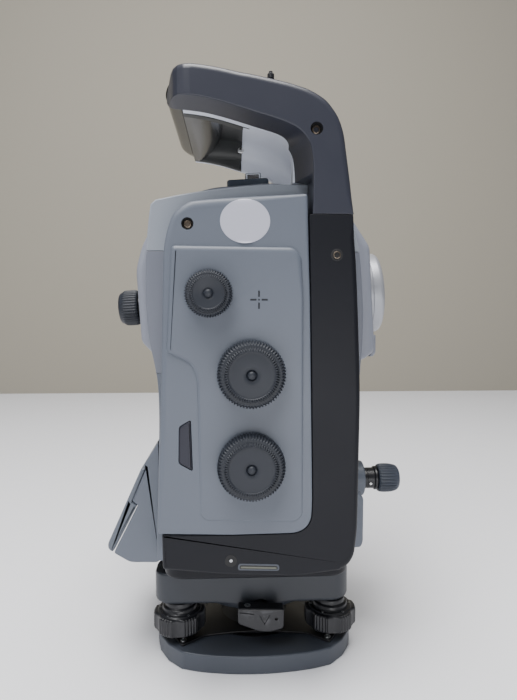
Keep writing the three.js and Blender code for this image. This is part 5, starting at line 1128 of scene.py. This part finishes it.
# ------------------------------------------------------------------ pieces kept from the frame
KEEP = {"vertical_spindle": STEEL, "horizontal_circle": GLASS2, "horizontal_drive_ring": BRASS, "vertical_axis_bearing": STEEL, "clamp_ring": STEEL, "vertical_circle": GLASS2, "focusing_lens": GLASS2}
for nm, m in KEEP.items():
    N[nm].data.materials.clear(); N[nm].data.materials.append(m)
for nm, ob in N.items():
    if nm not in KEEP:
        ob.data.materials.clear(); ob.data.materials.append(DARK)

# ------------------------------------------------------------------ floor, wall and light
def stage_mat(name, col, rough):
    m = finish(name, col, rough, grain=300, bump=0.03, var=0.01, rvar=0.03, spec=0.3)
    return m
prof = [(-3.0, 0.0), (0.9, 0.0)] + [(0.9 + 0.5 * math.sin(math.radians(a)), 0.5 - 0.5 * math.cos(math.radians(a))) for a in range(6, 91, 6)] + [(1.4, 3.2)]
vs = [Vector((x, y, z)) for y, z in prof for x in (-4.0, 4.0)]
fs = [(2 * i, 2 * i + 1, 2 * i + 3, 2 * i + 2) for i in range(len(prof) - 1)]
def stage_obj(name, vs, fs, mat):
    me = bpy.data.meshes.new(name); me.from_pydata(vs, [], fs)
    for p in me.polygons: p.use_smooth = True
    me.materials.append(mat)
    ob = bpy.data.objects.new(name, me); bpy.context.scene.collection.objects.link(ob)
    return ob
stage_obj("floor", [Vector((-3, -3, 0)), Vector((3, -3, 0)), Vector((3, 3, 0)), Vector((-3, 3, 0))], [(0, 1, 2, 3)], stage_mat("floor_pale", (0.86, 0.865, 0.90), 0.55))
stage_obj("wall", [Vector((-3, 1.25, -0.5)), Vector((3, 1.25, -0.5)), Vector((3, 1.25, 2.6)), Vector((-3, 1.25, 2.6))], [(3, 2, 1, 0)], stage_mat("wall_beige", (0.345, 0.320, 0.268), 0.8))

def area(name, loc, aim, size, power, col=(1, 1, 1), sy=None):
    l = bpy.data.lights.new(name, "AREA"); l.energy = power; l.size = size; l.color = col
    if sy: l.shape = "RECTANGLE"; l.size_y = sy
    o = bpy.data.objects.new(name, l); bpy.context.scene.collection.objects.link(o)
    o.location = loc
    o.rotation_euler = (Vector(aim) - Vector(loc)).to_track_quat("-Z", "Y").to_euler()
    return o
area("key", (-0.55, -0.95, 1.45), (0, 0, 0.22), 0.6, 12.0, (0.975, 0.985, 1.0))
area("top", (-0.1, -0.35, 1.75), (0, -0.1, 0.0), 1.0, 52, (1.0, 0.99, 0.975))
area("left", (-1.15, -0.75, 0.60), (0, 0, 0.25), 0.30, 1.3, (0.96, 0.98, 1.0))
area("low_front", (0.10, -0.95, 0.10), (0.0, 0.05, 0.36), 0.5, 1.8, (1.0, 1.0, 1.0), 0.15)
w = bpy.data.worlds.new("world"); bpy.context.scene.world = w; w.use_nodes = True
w.node_tree.nodes["Background"].inputs[0].default_value = (0.80, 0.83, 0.88, 1)
w.node_tree.nodes["Background"].inputs[1].default_value = 0.20

bpy.context.view_layer.update()
